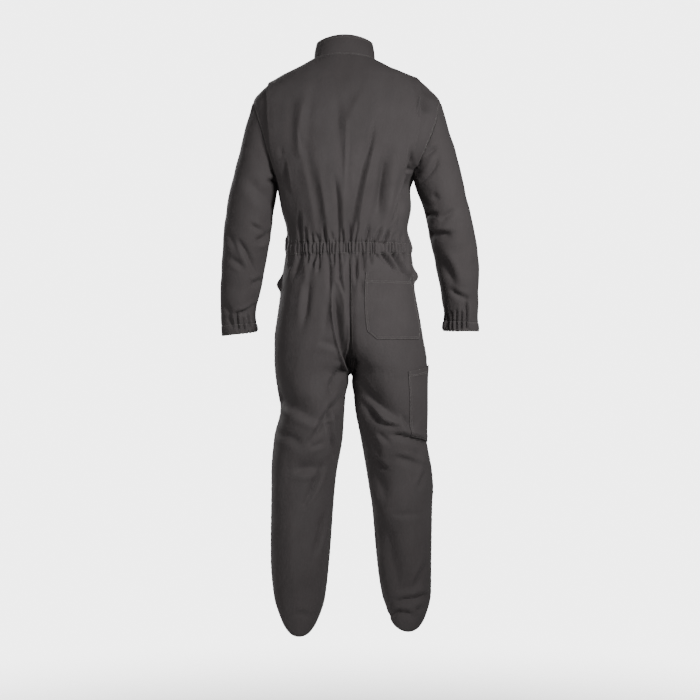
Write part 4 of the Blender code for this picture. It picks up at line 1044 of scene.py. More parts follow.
BODY_FRONT = Creases(
    rows_of("""
    # bodice
    114 -120 100 -300 6 13 15 3.6 0.2 0.1 0.1
    -110 -130 -94 -320 -6 15 13 3.6 0.2 0.1 0.1
    98 -255 66 -494 6 12 12 5.4 0.3 0.0 0.5
    -92 -235 -68 -494 -6 12 12 5.4 0.3 0.0 0.5
    142 -320 118 -510 -4 12 10 4.8 0.2 0.0 0.6
    -136 -330 -116 -505 4 10 12 4.8 0.2 0.0 0.6
    38 -320 25 -500 2 9 10 3.6 0.3 0.0 0.4
    -36 -300 -26 -505 -2 10 9 3.6 0.3 0.0 0.4
    120 -262 110 -470 0 12 11 -2.6 0.2 0.1 0.2
    -116 -270 -104 -460 0 11 12 -2.6 0.2 0.1 0.2
    # waist to thigh
    52 -522 124 -650 -6 9 12 5.0 0.3 0.8 0.1
    -52 -524 -120 -658 6 12 9 5.0 0.3 0.8 0.1
    112 -522 150 -610 0 8 9 4.2 0.3 0.9 0.1
    -110 -522 -148 -604 0 9 8 4.2 0.3 0.9 0.1
    150 -716 26 -796 10 12 24 6.6 0.3 0.1 0.7
    -22 -800 -156 -724 10 12 24 6.6 0.3 0.7 0.1
    158 -806 24 -822 8 11 18 5.4 0.3 0.1 0.8
    -24 -826 -166 -812 8 11 18 5.4 0.3 0.8 0.1
    172 -880 50 -872 6 12 22 4.6 0.2 0.2 0.2
    -48 -884 -176 -868 6 12 22 4.6 0.2 0.2 0.2
    # knees
    168 -1008 62 -1038 6 12 20 5.4 0.3 0.3 0.1
    178 -1064 60 -1074 -6 12 12 6.0 0.3 0.3 0.1
    -66 -1022 -170 -1042 5 12 20 5.4 0.3 0.1 0.3
    -70 -1078 -190 -1060 6 11 12 6.0 0.3 0.1 0.3
    66 -1086 112 -1196 -4 9 7 4.6 0.4 0.2 0.1
    -72 -1092 -128 -1190 5 12 7 5.0 0.4 0.2 0.1
    # shins and hems
    132 -1160 130 -1420 0 24 24 -3.6 0.4 0.1 0.2
    -152 -1160 -160 -1400 0 24 24 -3.6 0.4 0.1 0.2
    182 -1340 78 -1372 6 11 18 4.8 0.3 0.3 0.1
    -106 -1362 -206 -1382 6 11 18 4.8 0.3 0.1 0.4
    176 -1424 92 -1436 -5 10 12 5.0 0.4 0.3 0.2
    -120 -1430 -204 -1444 -4 10 12 5.0 0.4 0.2 0.4
    166 -1478 100 -1484 6 9 9 4.0 0.3 0.2 0.2
    -126 -1480 -196 -1486 5 9 9 4.0 0.3 0.2 0.3
""")
)

SLEEVE_BACK = {
    Side.LEFT: Creases(
        rows_of("""
    236 -208 200 -300 -5 10 7 4.0 0.2 0.1 0.6
    219 -329 190 -322 1 6 6 6.4 0.5 0.1 1.0
    280 -310 204 -390 3 15 18 4.4 0.1 0.1 0.6
    266 -443 230 -463 0 6 6 3.0 0.3 0.1 0.3
    254 -492 208 -468 4 8 9 6.4 0.4 0.1 1.0
    310 -472 245 -584 -6 7 8 5.0 0.5 0.1 0.3
    328 -461 296 -524 0 7 8 3.2 0.3 0.3 0.1
    322 -533 277 -563 0 7 8 3.2 0.3 0.3 0.1
    260 -607 234 -597 0 8 7 5.4 0.4 0.1 1.0
    338 -653 314 -694 0 7 8 3.4 0.3 0.4 0.1
    301 -686 252 -663 5 9 5 5.4 0.5 0.3 0.8
    327 -686 310 -722 0 6 6 3.0 0.3 0.1 0.6
    301 -688 297 -724 0 4 5 4.4 0.4 0.6 1.0
    282 -690 280 -724 0 4 4 4.2 0.4 0.2 1.0
    267 -686 267 -722 0 4 4 3.8 0.4 0.2 1.0
""")
    ),
    Side.RIGHT: Creases(
        rows_of("""
    -197 -258 -245 -231 3 7 6 4.6 0.5 0.4 0.1
    -202 -324 -244 -250 10 7 7 3.6 0.3 0.5 0.1
    -224 -360 -248 -382 0 9 9 2.4 0.1 0.1 0.1
    -210 -418 -245 -417 0 7 7 6.0 0.5 0.9 0.1
    -243 -437 -294 -402 0 8 9 3.6 0.2 0.1 0.1
    -216 -467 -290 -469 4 13 8 6.4 0.3 0.9 0.1
    -243 -522 -288 -614 -3 15 11 6.4 0.1 0.3 0.3
    -270 -618 -322 -645 3 7 7 4.4 0.6 0.2 0.4
    -321 -645 -319 -722 0 5 4 4.8 0.4 0.4 1.0
    -307 -670 -303 -722 0 4 4 4.0 0.3 0.1 1.0
    -292 -666 -290 -722 0 4 4 4.0 0.3 0.1 1.0
    -279 -672 -278 -722 0 4 4 3.8 0.3 0.1 1.0
    -268 -680 -268 -720 0 4 4 3.6 0.3 0.1 1.0
""")
    ),
}

SLEEVE_FRONT = {
    Side.LEFT: Creases(
        rows_of("""
    256 -240 204 -306 -5 12 13 4.6 0.2 0.1 0.5
    308 -440 210 -462 8 12 16 6.6 0.4 0.1 0.9
    322 -476 220 -500 -5 9 12 5.4 0.4 0.1 0.8
    322 -530 226 -548 5 10 14 5.4 0.3 0.2 0.6
    328 -618 240 -604 5 10 14 4.6 0.3 0.2 0.5
    330 -640 300 -716 -3 8 9 3.6 0.3 0.1 0.8
    296 -668 250 -660 3 8 8 4.6 0.4 0.1 0.8
""")
    ),
    Side.RIGHT: Creases(
        rows_of("""
    -200 -300 -250 -238 5 12 13 4.6 0.2 0.5 0.1
    -218 -452 -308 -436 8 12 16 6.6 0.4 0.9 0.1
    -228 -494 -332 -472 -5 9 12 5.4 0.4 0.8 0.1
    -236 -544 -336 -526 5 10 14 5.4 0.3 0.6 0.2
    -250 -600 -340 -622 5 10 14 4.6 0.3 0.5 0.2
    -338 -636 -312 -712 3 9 8 3.6 0.3 0.1 0.8
    -264 -656 -312 -664 3 8 8 4.6 0.4 0.8 0.1
""")
    ),
}


# ---- finishes


@dataclass(frozen=True)
class Value:
    """A number in a shader graph that ordinary arithmetic works on."""

    graph: "Graph"
    socket: object

    def _math(self, operation: str, *others: object) -> "Value":
        """One Math node on this value and the others."""
        node = self.graph.node("ShaderNodeMath", {"operation": operation}, {})
        for i, item in enumerate((self, *others)):
            self.graph.feed(node.inputs[i], item)
        return Value(self.graph, node.outputs[0])

    def __add__(self, other: object) -> "Value":
        """Add."""
        return self._math("ADD", other)

    def __mul__(self, other: object) -> "Value":
        """Multiply."""
        return self._math("MULTIPLY", other)

    def __sub__(self, other: object) -> "Value":
        """Subtract."""
        return self._math("SUBTRACT", other)

    def __rsub__(self, other: object) -> "Value":
        """Subtract this from the other."""
        return self * -1.0 + other

    def __truediv__(self, other: object) -> "Value":
        """Divide."""
        return self._math("DIVIDE", other)

    def sin(self) -> "Value":
        """The sine."""
        return self._math("SINE")

    def fraction(self) -> "Value":
        """What is past the whole number."""
        return self._math("FRACT")

    def between(self, low: float, high: float) -> "Value":
        """0 below low, 1 above high, smooth in between."""
        node = self.graph.node("ShaderNodeMapRange", {"interpolation_type": "SMOOTHSTEP"}, {})
        for name, item in (("Value", self), ("From Min", low), ("From Max", high)):
            self.graph.feed(node.inputs[name], item)
        return Value(self.graph, node.outputs[0])


class Graph:
    """The node graph of one material."""

    def __init__(self, name: str) -> None:
        """Start an empty material."""
        self.made = bpy.data.materials.new(name)
        self.made.use_nodes = True
        self.tree = self.made.node_tree
        self.tree.nodes.clear()
        self.shader = self.node("ShaderNodeBsdfPrincipled", {}, {})
        self.node("ShaderNodeOutputMaterial", {}, {"Surface": self.shader.outputs[0]})

    def feed(self, socket: object, item: object) -> None:
        """Set a socket to a number or colour, or link it."""
        if isinstance(item, Value):
            item = item.socket
        if isinstance(item, bpy.types.NodeSocket):
            self.tree.links.new(item, socket)
        else:
            socket.default_value = item

    def shade(self, values: dict[str, object]) -> None:
        """Feed the shader's own inputs."""
        for name, item in values.items():
            self.feed(self.shader.inputs[name], item)

    def node(
        self, kind: str, settings: dict[str, object], values: dict[object, object]
    ) -> bpy.types.Node:
        """Add a node.

        Args:
            kind: Its type.
            settings: Its own properties, set first.
            values: Its sockets' numbers, colours or links.

        Returns:
            The node.
        """
        made = self.tree.nodes.new(kind)
        for key, item in settings.items():
            setattr(made, key, item)
        for key, item in values.items():
            self.feed(made.inputs[key], item)
        return made

    def mix(self, share: object, first: object, second: object, blend: str = "MIX") -> object:
        """Blend two colours."""
        settings = {"data_type": "RGBA", "blend_type": blend, "clamp_factor": True}
        made = self.node("ShaderNodeMix", settings, {})
        for i, item in ((0, share), (6, first), (7, second)):
            self.feed(made.inputs[i], item)
        return made.outputs[2]

    def scaled(self, vector: object, factors: tuple[float, float, float]) -> object:
        """Multiply a vector by three factors."""
        made = self.node("ShaderNodeVectorMath", {"operation": "MULTIPLY"}, {})
        self.feed(made.inputs[0], vector)
        self.feed(made.inputs[1], factors)
        return made.outputs[0]

    def noise(self, vector: object, scale: float, detail: float = 3.0, rough: float = 0.5) -> Value:
        """Soft noise from 0 to 1."""
        values = {"Vector": vector, "Scale": scale, "Detail": detail, "Roughness": rough}
        return Value(self, self.node("ShaderNodeTexNoise", {"normalize": True}, values).outputs[0])

    def place(self) -> object:
        """The point's place on the object, in metres."""
        return self.node("ShaderNodeTexCoord", {}, {}).outputs["Object"]

    def flat(self) -> tuple[object, Value, Value]:
        """The place on the flat cloth, whole and as its two distances."""
        socket = self.node("ShaderNodeUVMap", {"uv_map": "cloth"}, {}).outputs[0]
        parts = self.node("ShaderNodeSeparateXYZ", {}, {"Vector": socket}).outputs
        return socket, Value(self, parts[0]), Value(self, parts[1])

    def wear(self) -> Value:
        """How much the cloth is lightened, partly for rubbing and partly as a painted highlight along
        edges and seams.
        """
        made = self.node("ShaderNodeAttribute", {"attribute_name": "wear"}, {})
        return Value(self, made.outputs["Fac"])

    def bump(
        self, height: Value, distance: float, strength: float = 1.0, normal: object = None
    ) -> object:
        """Turn a height from 0 to 1 into a normal."""
        values = {"Height": height, "Distance": distance, "Strength": strength}
        made = self.node("ShaderNodeBump", {}, values)
        if normal is not None:
            self.feed(made.inputs["Normal"], normal)
        return made.outputs[0]


@dataclass(frozen=True)
class Finish:
    """What a piece is made of. Subclasses say how its surface looks."""

    name: str
    slot: str

    def material(self) -> bpy.types.Material:
        """The finish's material, made the first time that it is asked for."""
        found = bpy.data.materials.get(self.name)
        if found is not None:
            return found
        graph = Graph(self.name)
        self.paint(graph)
        return graph.made

    def paint(self, graph: Graph) -> None:
        """Lay out the shader."""
        raise NotImplementedError


@dataclass(frozen=True)
class Twill(Finish):
    """Warm dark grey workwear twill: steep diagonal ribs of heathered yarn with a dull sheen."""

    dark: tuple[float, float, float] = (0.046, 0.0400, 0.0398)
    light: tuple[float, float, float] = (0.084, 0.0750, 0.0762)
    # The paler colour that edges and seams are lightened towards: partly cloth worn by rubbing, partly a
    # painted highlight.
    rubbed_and_highlight: tuple[float, float, float] = (0.118, 0.106, 0.106)
    rib: float = 0.00072
    yarn: float = 0.00042
    sheen: float = 0.05

    def paint(self, graph: Graph) -> None:
        """Lay out the shader."""
        flat, across, along = graph.flat()
        place = graph.place()
        lean = graph.noise(flat, 900.0, 2.0) * 0.35
        ribs = ((across + along * 0.5) / self.rib + lean).fraction() * 2.0 - 1.0
        ribs = 1.0 - ribs * ribs
        yarns = (along / self.yarn * math.pi).sin() * (across / self.yarn * math.pi).sin()
        weave = ribs * 0.72 + (yarns * 0.5 + 0.5) * 0.28
        fleck = graph.noise(graph.scaled(flat, (2600.0, 620.0, 1.0)), 1.0, 2.0, 0.7)
        slub = graph.noise(graph.scaled(flat, (900.0, 26.0, 1.0)), 1.0, 2.0, 0.6)
        cloud = graph.noise(place, 9.0, 4.0, 0.55)
        tone = weave * 0.16 + fleck * 0.46 + slub * 0.24 + cloud * 0.26
        colour = graph.mix(tone.between(0.22, 0.92), (*self.dark, 1), (*self.light, 1))
        # Edges and seams are lightened, partly for rubbing and partly as a painted highlight on the seams'
        # ridges.
        rub = graph.wear() * graph.noise(flat, 700.0, 3.0, 0.7).between(0.35, 0.75) * 0.42
        colour = graph.mix(rub, colour, (*self.rubbed_and_highlight, 1))
        graph.shade(
            {
                "Base Color": colour,
                "Roughness": 0.93 - cloud * 0.14 - rub * 0.10,
                "Sheen Weight": self.sheen,
                "Sheen Roughness": 0.42,
                "Sheen Tint": (0.86, 0.83, 0.82, 1),
                "Specular IOR Level": 0.28,
            }
        )
        rumple = graph.noise(graph.scaled(place, (1.0, 1.0, 0.6)), 34.0, 3.0, 0.5)
        creped = graph.noise(flat, 120.0, 2.0, 0.5)
        normal = graph.bump(rumple, 0.0022, 0.75)
        normal = graph.bump(creped, 0.00035, 0.8, normal)
        normal = graph.bump(weave * 0.8 + fleck * 0.2, 0.00016, 0.85, normal)
        graph.shade({"Normal": normal})


@dataclass(frozen=True)
class PlainWeave(Finish):
    """Plain-woven cloth: pocketing or zip tape."""

    # These defaults are the pocketing's colours: near black, as painted shade inside the pocket's mouth.
    dark: tuple[float, float, float] = (0.010, 0.009, 0.009)
    light: tuple[float, float, float] = (0.026, 0.024, 0.023)
    pitch: float = 0.0008
    rough: float = 0.9

    def paint(self, graph: Graph) -> None:
        """Lay out the shader."""
        flat, across, along = graph.flat()
        warp = (across / self.pitch * math.pi).sin()
        weft = (along / self.pitch * math.pi).sin()
        weave = warp * weft * 0.5 + 0.5
        fleck = graph.noise(flat, 1500.0, 2.0, 0.6)
        tone = (weave * 0.5 + fleck * 0.5).between(0.2, 0.9)
        colour = graph.mix(tone, (*self.dark, 1), (*self.light, 1))
        look = {"Base Color": colour, "Roughness": self.rough - fleck * 0.12, "Sheen Weight": 0.08}
        graph.shade(look | {"Specular IOR Level": 0.25, "Normal": graph.bump(weave, 0.00022, 0.9)})


@dataclass(frozen=True)
class Thread(Finish):
    """Spun sewing thread, a shade lighter than the cloth and a little shinier."""

    dark: tuple[float, float, float] = (0.110, 0.101, 0.096)
    light: tuple[float, float, float] = (0.260, 0.244, 0.236)

    def paint(self, graph: Graph) -> None:
        """Lay out the shader."""
        twist = graph.noise(graph.place(), 1400.0, 2.0, 0.6)
        colour = graph.mix(twist.between(0.3, 0.8), (*self.dark, 1), (*self.light, 1))
        look = {"Base Color": colour, "Roughness": 0.62 - twist * 0.15, "Sheen Weight": 0.2}
        graph.shade(look | {"Normal": graph.bump(twist, 0.0002, 0.6)})


@dataclass(frozen=True)
class Moulded(Finish):
    """Moulded plastic with a fine satin grain."""

    colour: tuple[float, float, float] = (0.022, 0.021, 0.020)

    def paint(self, graph: Graph) -> None:
        """Lay out the shader."""
        grain = graph.noise(graph.place(), 2200.0, 3.0, 0.6)
        cloud = graph.noise(graph.place(), 60.0, 2.0, 0.5)
        pale = tuple(c * 1.7 for c in self.colour)
        colour = graph.mix(cloud.between(0.3, 0.8) * 0.5 + grain * 0.2, (*self.colour, 1), (*pale, 1))
        look = {"Base Color": colour, "Roughness": grain * 0.18 + 0.30}
        graph.shade(look | {"Normal": graph.bump(grain, 0.00006, 0.7)})


@dataclass(frozen=True)
class DarkMetal(Finish):
    """Dark coated zip metal, worn brighter where it is handled."""

    coat: tuple[float, float, float] = (0.060, 0.058, 0.056)
    bare: tuple[float, float, float] = (0.34, 0.33, 0.32)

    def paint(self, graph: Graph) -> None:
        """Lay out the shader."""
        place = graph.place()
        scuff = graph.noise(graph.scaled(place, (1.0, 1.0, 0.25)), 900.0, 4.0, 0.65)
        patch = graph.noise(place, 140.0, 3.0, 0.6)
        rub = scuff.between(0.55, 0.80) * patch.between(0.42, 0.70)
        colour = graph.mix(rub * 0.65, (*self.coat, 1), (*self.bare, 1))
        look = {"Base Color": colour, "Metallic": 1.0, "Roughness": 0.44 - rub * 0.14}
        graph.shade(look | {"Normal": graph.bump(scuff, 0.00004, 0.6)})


@dataclass(frozen=True)
class Backdrop(Finish):
    """The studio's plain pale floor, which fades out towards its edge."""

    colour: tuple[float, float, float] = (0.86, 0.86, 0.86)
    fade_from: float = 0.5
    fade_to: float = 2.8

    def paint(self, graph: Graph) -> None:
        """Lay out the shader."""
        tone = graph.noise(graph.place(), 0.8, 2.0, 0.4)
        pale = tuple(min(1.0, c * 1.03) for c in self.colour)
        graph.shade({"Base Color": graph.mix(tone, (*self.colour, 1), (*pale, 1)), "Roughness": 0.9})
        flat = graph.scaled(graph.place(), (1.0, 1.0, 0.0))
        length = graph.node("ShaderNodeVectorMath", {"operation": "LENGTH"}, {0: flat})
        reach = Value(graph, length.outputs[1])
        graph.shade({"Alpha": 1.0 - reach.between(self.fade_from, self.fade_to)})


TWILL = Twill("twill_cloth", "twill")
# The pocketing's near-black colour is painted shade in the pocket's mouth.
POCKETING_PAINTED_SHADE = PlainWeave("pocket_cloth", "pocketing")
TAPE = PlainWeave("zip_tape", "tape", (0.020, 0.018, 0.017), (0.055, 0.050, 0.048), 0.0010)
THREAD = Thread("sewing_thread", "twill")
TEETH = Moulded("moulded_teeth", "zip_teeth")
METAL = DarkMetal("coated_metal", "zip_metal")
FLOOR = Backdrop("studio_floor", "")


# ---- stitches


@dataclass
class Stitching:
    """Rows of stitches that are laid on cloth and made as one mesh."""

    name: str
    pitch: float = 0.0030
    share: float = 0.70
    width: float = 0.00085
    rise: float = 0.00050
    start: float = 0.15
    shoulders: tuple[float, float] = (0.22, 0.78)
    dip: float = 0.0002
    belly: float = 0.0003
    rows: list[Points] = field(default_factory=list)

    def add(self, line: Points) -> None:
        """Lay one row of stitches along points, with the cloth's normals there."""
        points, normal = line
        far = distances(points)
        count = int(far[-1] / self.pitch)
        if count < 1:
            return
        starts = (np.arange(count) + self.start) * far[-1] / count
        ends = starts + self.share * far[-1] / count
        bars = np.stack([read_line(at, far, points) for at in (starts, ends)], axis=1)
        self.rows.append((bars, unit(read_line((starts + ends) / 2, far, normal))))

    def build(self) -> bpy.types.Object:
        """Make every stitch as a small pointed bar with a crowned top.

        Returns:
            The joined mesh.
        """
        ends = np.concatenate([row[0] for row in self.rows])
        up = np.concatenate([row[1] for row in self.rows])
        run = ends[:, 1] - ends[:, 0]
        side = unit(np.cross(up, run)) * self.width / 2
        rings = [ends[:, 0] - up * self.dip]
        for share in self.shoulders:
            middle = ends[:, 0] + run * share
            rings += [middle + side, middle + up * self.rise, middle - side, middle - up * self.belly]
        rings.append(ends[:, 1] - up * self.dip)
        points = np.stack(rings, axis=1)
        faces, tip = [], len(rings) - 1
        for k in range(4):
            a, b = 1 + k, 1 + (k + 1) % 4
            c, d = a + 4, b + 4
            faces += [(0, b, a), (a, b, d), (a, d, c), (tip, c, d)]
        each = np.array(faces)
        every = (each[None] + len(rings) * np.arange(len(points))[:, None, None]).reshape(-1, 3)
        return make_mesh(self.name, points.reshape(-1, 3), every, THREAD)


# ---- the pieces


@dataclass
class Bodice:
    """The bodice: a centre back over two side backs, and two fronts."""

    form: BodyForm
    step: float = 0.0022
    row_step: float = 0.0062
    pleat_lift: float = 0.0036
    pleat_rise: float = 0.030
    pleat_fade: float = 0.045
    underlay: float = 0.014
    sink: float = 0.0010
    stitched_from: float = PLEAT_TOP_DROP + 0.014
    stitches: Stitching = field(default_factory=lambda: Stitching("stitches_bodice"))
    cloths: dict[str, Cloth] = field(default_factory=dict)

    def drops(self, foot: float) -> Array:
        """Rows from the neck down to a foot, with the armhole's own rows between."""
        neck = steps(0.0, SHOULDER_DROP, self.row_step, HEM_LINES, close=False)
        turn = np.linspace(0, math.pi, ARM_STEPS + 1)
        arm = armhole_drop(turn)
        waist = steps(foot, ARMPIT_DROP, self.row_step, HEM_LINES, close=False)[::-1]
        return np.concatenate([neck[:-1], arm, waist[1:]])

    def opened(self, drop: Array) -> Array:
        """How far the pleat has opened at a drop, from 0 at the shoulder seam to 1."""
        return smooth_step((drop - PLEAT_TOP_DROP) / self.pleat_rise)

    def centre_back(self) -> None:
        """The centre back, with the two pleat edges standing over the side backs."""
        drops = self.drops(BAND_TOP_DROP + TUCK)
        layout = self.form.lay_back(drops, self.step, True)
        away = np.minimum(layout.first, layout.last)
        lift = self.pleat_lift * smooth_step(1 - away / self.pleat_fade) * self.opened(layout.drop)
        fold = self.opened(layout.drop)
        hem = Seam(pucker=0.0003, ridge=0.0004, width=0.0070, groove=0.0004, seed=3.0)
        sewn = Seam(seed=4.0)
        extra = lift + hem.relief(away, layout.drop) * fold + sewn.relief(away, layout.drop) * (1 - fold)
        extra = extra + Seam(seed=5.0).relief(layout.drop, layout.angle * NECK_RADIUS)
        cloth = self.form.panel(layout, extra + tucked(layout.drop - BAND_TOP_DROP))
        self.cloths["back_centre"] = cloth
        made = cloth.shell("back_centre_cloth", TWILL)
        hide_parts("back_centre")

    def side_back(self, side: Side) -> None:
        """A side back, from the armhole to under the pleat."""
        drops = self.drops(BAND_TOP_DROP + TUCK)
        drops = drops[drops > PLEAT_START_DROP]
        sign = signs(side, drops)
        first = self.form.inset(sign, armhole_angle(drops, ARM_BACK_ANGLE), drops, EDGE)
        under = self.form.inset(sign, self.form.pleat_angle(side, drops), drops, self.underlay)
        layout = self.form.lay(side, drops, first, np.maximum(under, first + 0.05), self.step * 1.3)
        tuck = self.pleat_lift * (self.opened(layout.drop) - 1)
        tuck = tuck - self.sink * smooth_step(layout.first / 0.006)
        felled = Seam(ridge=0.0006, pitch=0.014, seed=7.0 + int(side))
        extra = tuck + felled.relief(layout.first, layout.drop)
        extra = extra + armhole_groove(layout.first, layout.drop)
        cloth = self.form.panel(layout, extra + tucked(layout.drop - BAND_TOP_DROP))
        self.cloths["back_side_" + side.label] = cloth
        made = cloth.shell("back_side_cloth_" + side.label, TWILL)
        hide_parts("back_side_" + side.label)

    def front_layout(self, side: Side) -> Layout:
        """Where a front's points lie, from its zip edge to its side seam and armhole."""
        drops = self.drops(WAIST_DROP - SEAM_GAP)
        sign = signs(side, drops)
        first = -self.form.angle_at(sign, ZIP_HALF_GAP, drops)
        last = self.form.inset(sign, -armhole_angle(drops, ARM_FRONT_ANGLE), drops, -EDGE)
        return self.form.lay(side, drops, first, last, self.step * 2.3)

    def front(self, side: Side) -> None:
        """A front, from the zip to the side seam and armhole."""
        layout = self.front_layout(side)
        zipped = Seam(groove=0.0003, ridge=0.0006, width=0.0090, pucker=0.0006, pitch=0.024, seed=9.0)
        felled = Seam(ridge=0.0006, pitch=0.014, seed=8.0 + int(side))
        extra = zipped.relief(layout.first, layout.drop) + felled.relief(layout.last, layout.drop)
        extra = extra + armhole_groove(layout.last, layout.drop)
        extra = extra + Seam(seed=5.0).relief(layout.drop, layout.angle * NECK_RADIUS)
        waist = Seam(pitch=0.022, seed=6.0)
        extra = extra + waist.relief(WAIST_DROP - layout.drop, layout.angle * WAIST_RADIUS)
        cloth = self.form.panel(layout, extra)
        self.cloths["front_" + side.label] = cloth
        made = cloth.shell("front_cloth_" + side.label, TWILL)
        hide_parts("front_" + side.label)

    def build(self) -> None:
        """Make the bodice's cloth."""
        self.centre_back()
        for side in Side:
            self.side_back(side)
            self.front(side)

    def dress(self) -> None:
        """Sew the bodice."""
        centre = self.cloths["back_centre"]
        neck = centre.points.shape[1]
        self.stitches.add(centre.row(FIRST_STITCH, 3, neck - 3))
        top = int(np.searchsorted(self.drops(BAND_TOP_DROP + TUCK), self.stitched_from))
        for edge in STITCH_ROWS:
            self.stitches.add(centre.column(edge, 3, top))
            self.stitches.add(centre.column(-1 - edge, 3, top))
        for side in Side:
            back, front = self.cloths["back_side_" + side.label], self.cloths["front_" + side.label]
            for edge in STITCH_ROWS:
                self.stitches.add(back.column(edge, 4, -4))
                self.stitches.add(front.column(-1 - edge, top, -4))
            self.stitches.add(front.column(SECOND_STITCH, 2, -2))
            self.stitches.add(front.row(FIRST_STITCH, 3, -3))
        self.stitches.build()


@dataclass
class Waistband:
    """The elasticated back waistband: a casing drawn up into ruffles."""

    form: BodyForm
    step: float = 0.0011
    rows: int = 13
    edge_rows: tuple[float, ...] = (0.0007, 0.0019, 0.0045)
    margin: float = 0.0075
    thick: float = 0.0016
    edge_reach: float = 0.007
    sewn_dip: float = 0.0011
    sewn_at: float = 0.0026
    sewn_reach: float = 0.0013
    flattened: float = 0.75
    roll: float = 0.0010
    pitch: float = 0.0026
    stitches: Stitching | None = None
    cloth: Cloth | None = None

    def build(self) -> None:
        """Make the band."""
        inner = np.array(self.edge_rows)
        height = BAND_FOOT_DROP - BAND_TOP_DROP - SEAM_GAP
        middle = np.linspace(self.margin, height - self.margin, self.rows - 2 * len(inner) - 2)
        places = np.concatenate([[0], inner, middle, height - inner[::-1], [height]])
        drops = BAND_TOP_DROP + EDGE + places
        layout = self.form.lay_back(drops, self.step, False)
        away = np.minimum(layout.first, layout.last)
        points = self.form.smooth(layout.sign, layout.angle, layout.drop)
        share = np.clip((layout.drop - BAND_TOP_DROP) / (BAND_FOOT_DROP - BAND_TOP_DROP), 0, 1)
        edge = np.minimum(share, 1 - share) * (BAND_FOOT_DROP - BAND_TOP_DROP)
        inside = self.flattened * smooth_step(edge / self.edge_reach)
        sewn = -self.sewn_dip * bell((edge - self.sewn_at) / self.sewn_reach)
        flatter = inside * self.form.relief(layout.sign, layout.angle, layout.drop, points)
        roll = self.roll * np.sin(math.pi * share) * smooth_step(away / 0.006)
        self.cloth = self.form.panel(layout, sewn + roll - flatter)
        made = self.cloth.shell("waistband_cloth", TWILL, self.thick)
        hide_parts("waistband_back")

    def dress(self) -> None:
        """Sew the casing's two edges."""
        self.stitches = Stitching("stitches_waistband", pitch=self.pitch)
        for row in (2, -3):
            self.stitches.add(self.cloth.row(row, 6, -6))
        self.stitches.build()


@dataclass
class Collar:
    """The stand collar, folded along its top edge."""

    form: BodyForm
    mid_x: float = 0.0090
    half_width: float = 0.0755
    back: float = 0.056
    front: float = 0.066
    mid_y: float = -0.010
    side_z: float = 0.047
    rise_back: float = 0.0152
    rise_front: float = -0.038
    columns: int = 168
    rows: int = 22
    radius: float = 0.07
    height: float = 0.055
    thick: float = 0.0019
    neck_rows: tuple[float, ...] = (0.0, 0.02, 0.045, 0.09)
    middle_rows: tuple[float, float] = (0.14, 0.86)
    top_rows: tuple[float, ...] = (0.91, 0.955, 0.985, 1.0)
    bulge: float = 0.0016
    rumple: float = 0.0008
    pucker: float = 0.0004
    stitches: Stitching = field(default_factory=lambda: Stitching("stitches_collar"))
    cloth: Cloth | None = None

    def place(self, turn: Array, height: Array) -> Array:
        """Points from the neck seam (0) to the top edge (1)."""
        sine = np.sin(turn)
        sign = np.where(np.cos(turn) >= 0, 1.0, -1.0)
        neck = self.form.cloth_points(sign, np.arcsin(sine), np.zeros_like(sine), -Seam().groove)[0]
        top_y = self.mid_y + np.where(sine > 0, self.back, self.front) * sine
        rise = np.where(sine > 0, self.rise_back, self.rise_front) * sine**2
        top = stack(self.mid_x + self.half_width * np.cos(turn), top_y, self.side_z + rise)
        share = height[..., None]
        return neck * (1 - share) + top * share

    def build(self) -> None:
        """Make the collar's cloth."""
        edge = -math.acos(ZIP_HALF_GAP / self.half_width)
        lines, high = np.array(HEM_LINES) / self.radius, self.height
        far_edge = math.pi - edge
        middle = np.linspace(edge + lines[-1], far_edge - lines[-1], self.columns)
        turns = np.concatenate([edge + lines[:-1], middle, (far_edge - lines[:-1])[::-1]])
        middle = np.linspace(*self.middle_rows, self.rows)
        height = np.concatenate([self.neck_rows, middle, self.top_rows])
        turn, share = np.meshgrid(turns, height[::-1])
        points = self.place(turn, share)
        outward = unit(points - stack(self.mid_x, self.mid_y, points[..., 2]))
        arch = np.sin(math.pi * share)
        bulge = self.bulge * arch + self.rumple * wave(turn * 1.5, 2.0) * arch
        sewn = bell((share - 0.04) / 0.08) + bell((share - 0.94) / 0.06)
        pucker = self.pucker * wave(turn * 5.5, 3.0) * sewn
        grooves = -0.0006 * bell((share - 0.90) * high / 0.0012)
        grooves = grooves - 0.0004 * bell((share - 0.045) * high / 0.0010)
        ends = np.minimum(turn - edge, far_edge - turn) * self.radius
        rise = bulge + pucker + grooves - 0.0005 * bell(ends / 0.001)
        points = points + outward * (rise * smooth_step(share * high / 0.0015))[..., None]
        # Lightened along the top fold and the ends: partly rubbing, partly a painted highlight.
        wear = bell((1 - share) * high / 0.003) + bell(ends / 0.0035)
        self.cloth = Cloth(points, outward, np.clip(wear, 0, 1))
        made = self.cloth.shell("collar_cloth", TWILL, self.thick)
        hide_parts("collar")

    def dress(self) -> None:
        """Sew the collar along its top edge, its neck seam and its ends."""
        self.stitches.add(self.cloth.row(4, 6, -6))
        self.stitches.add(self.cloth.row(-3, 4, -4))
        for column in (SECOND_STITCH, -1 - SECOND_STITCH):
            self.stitches.add(self.cloth.column(column, 4, -3))
        self.stitches.build()


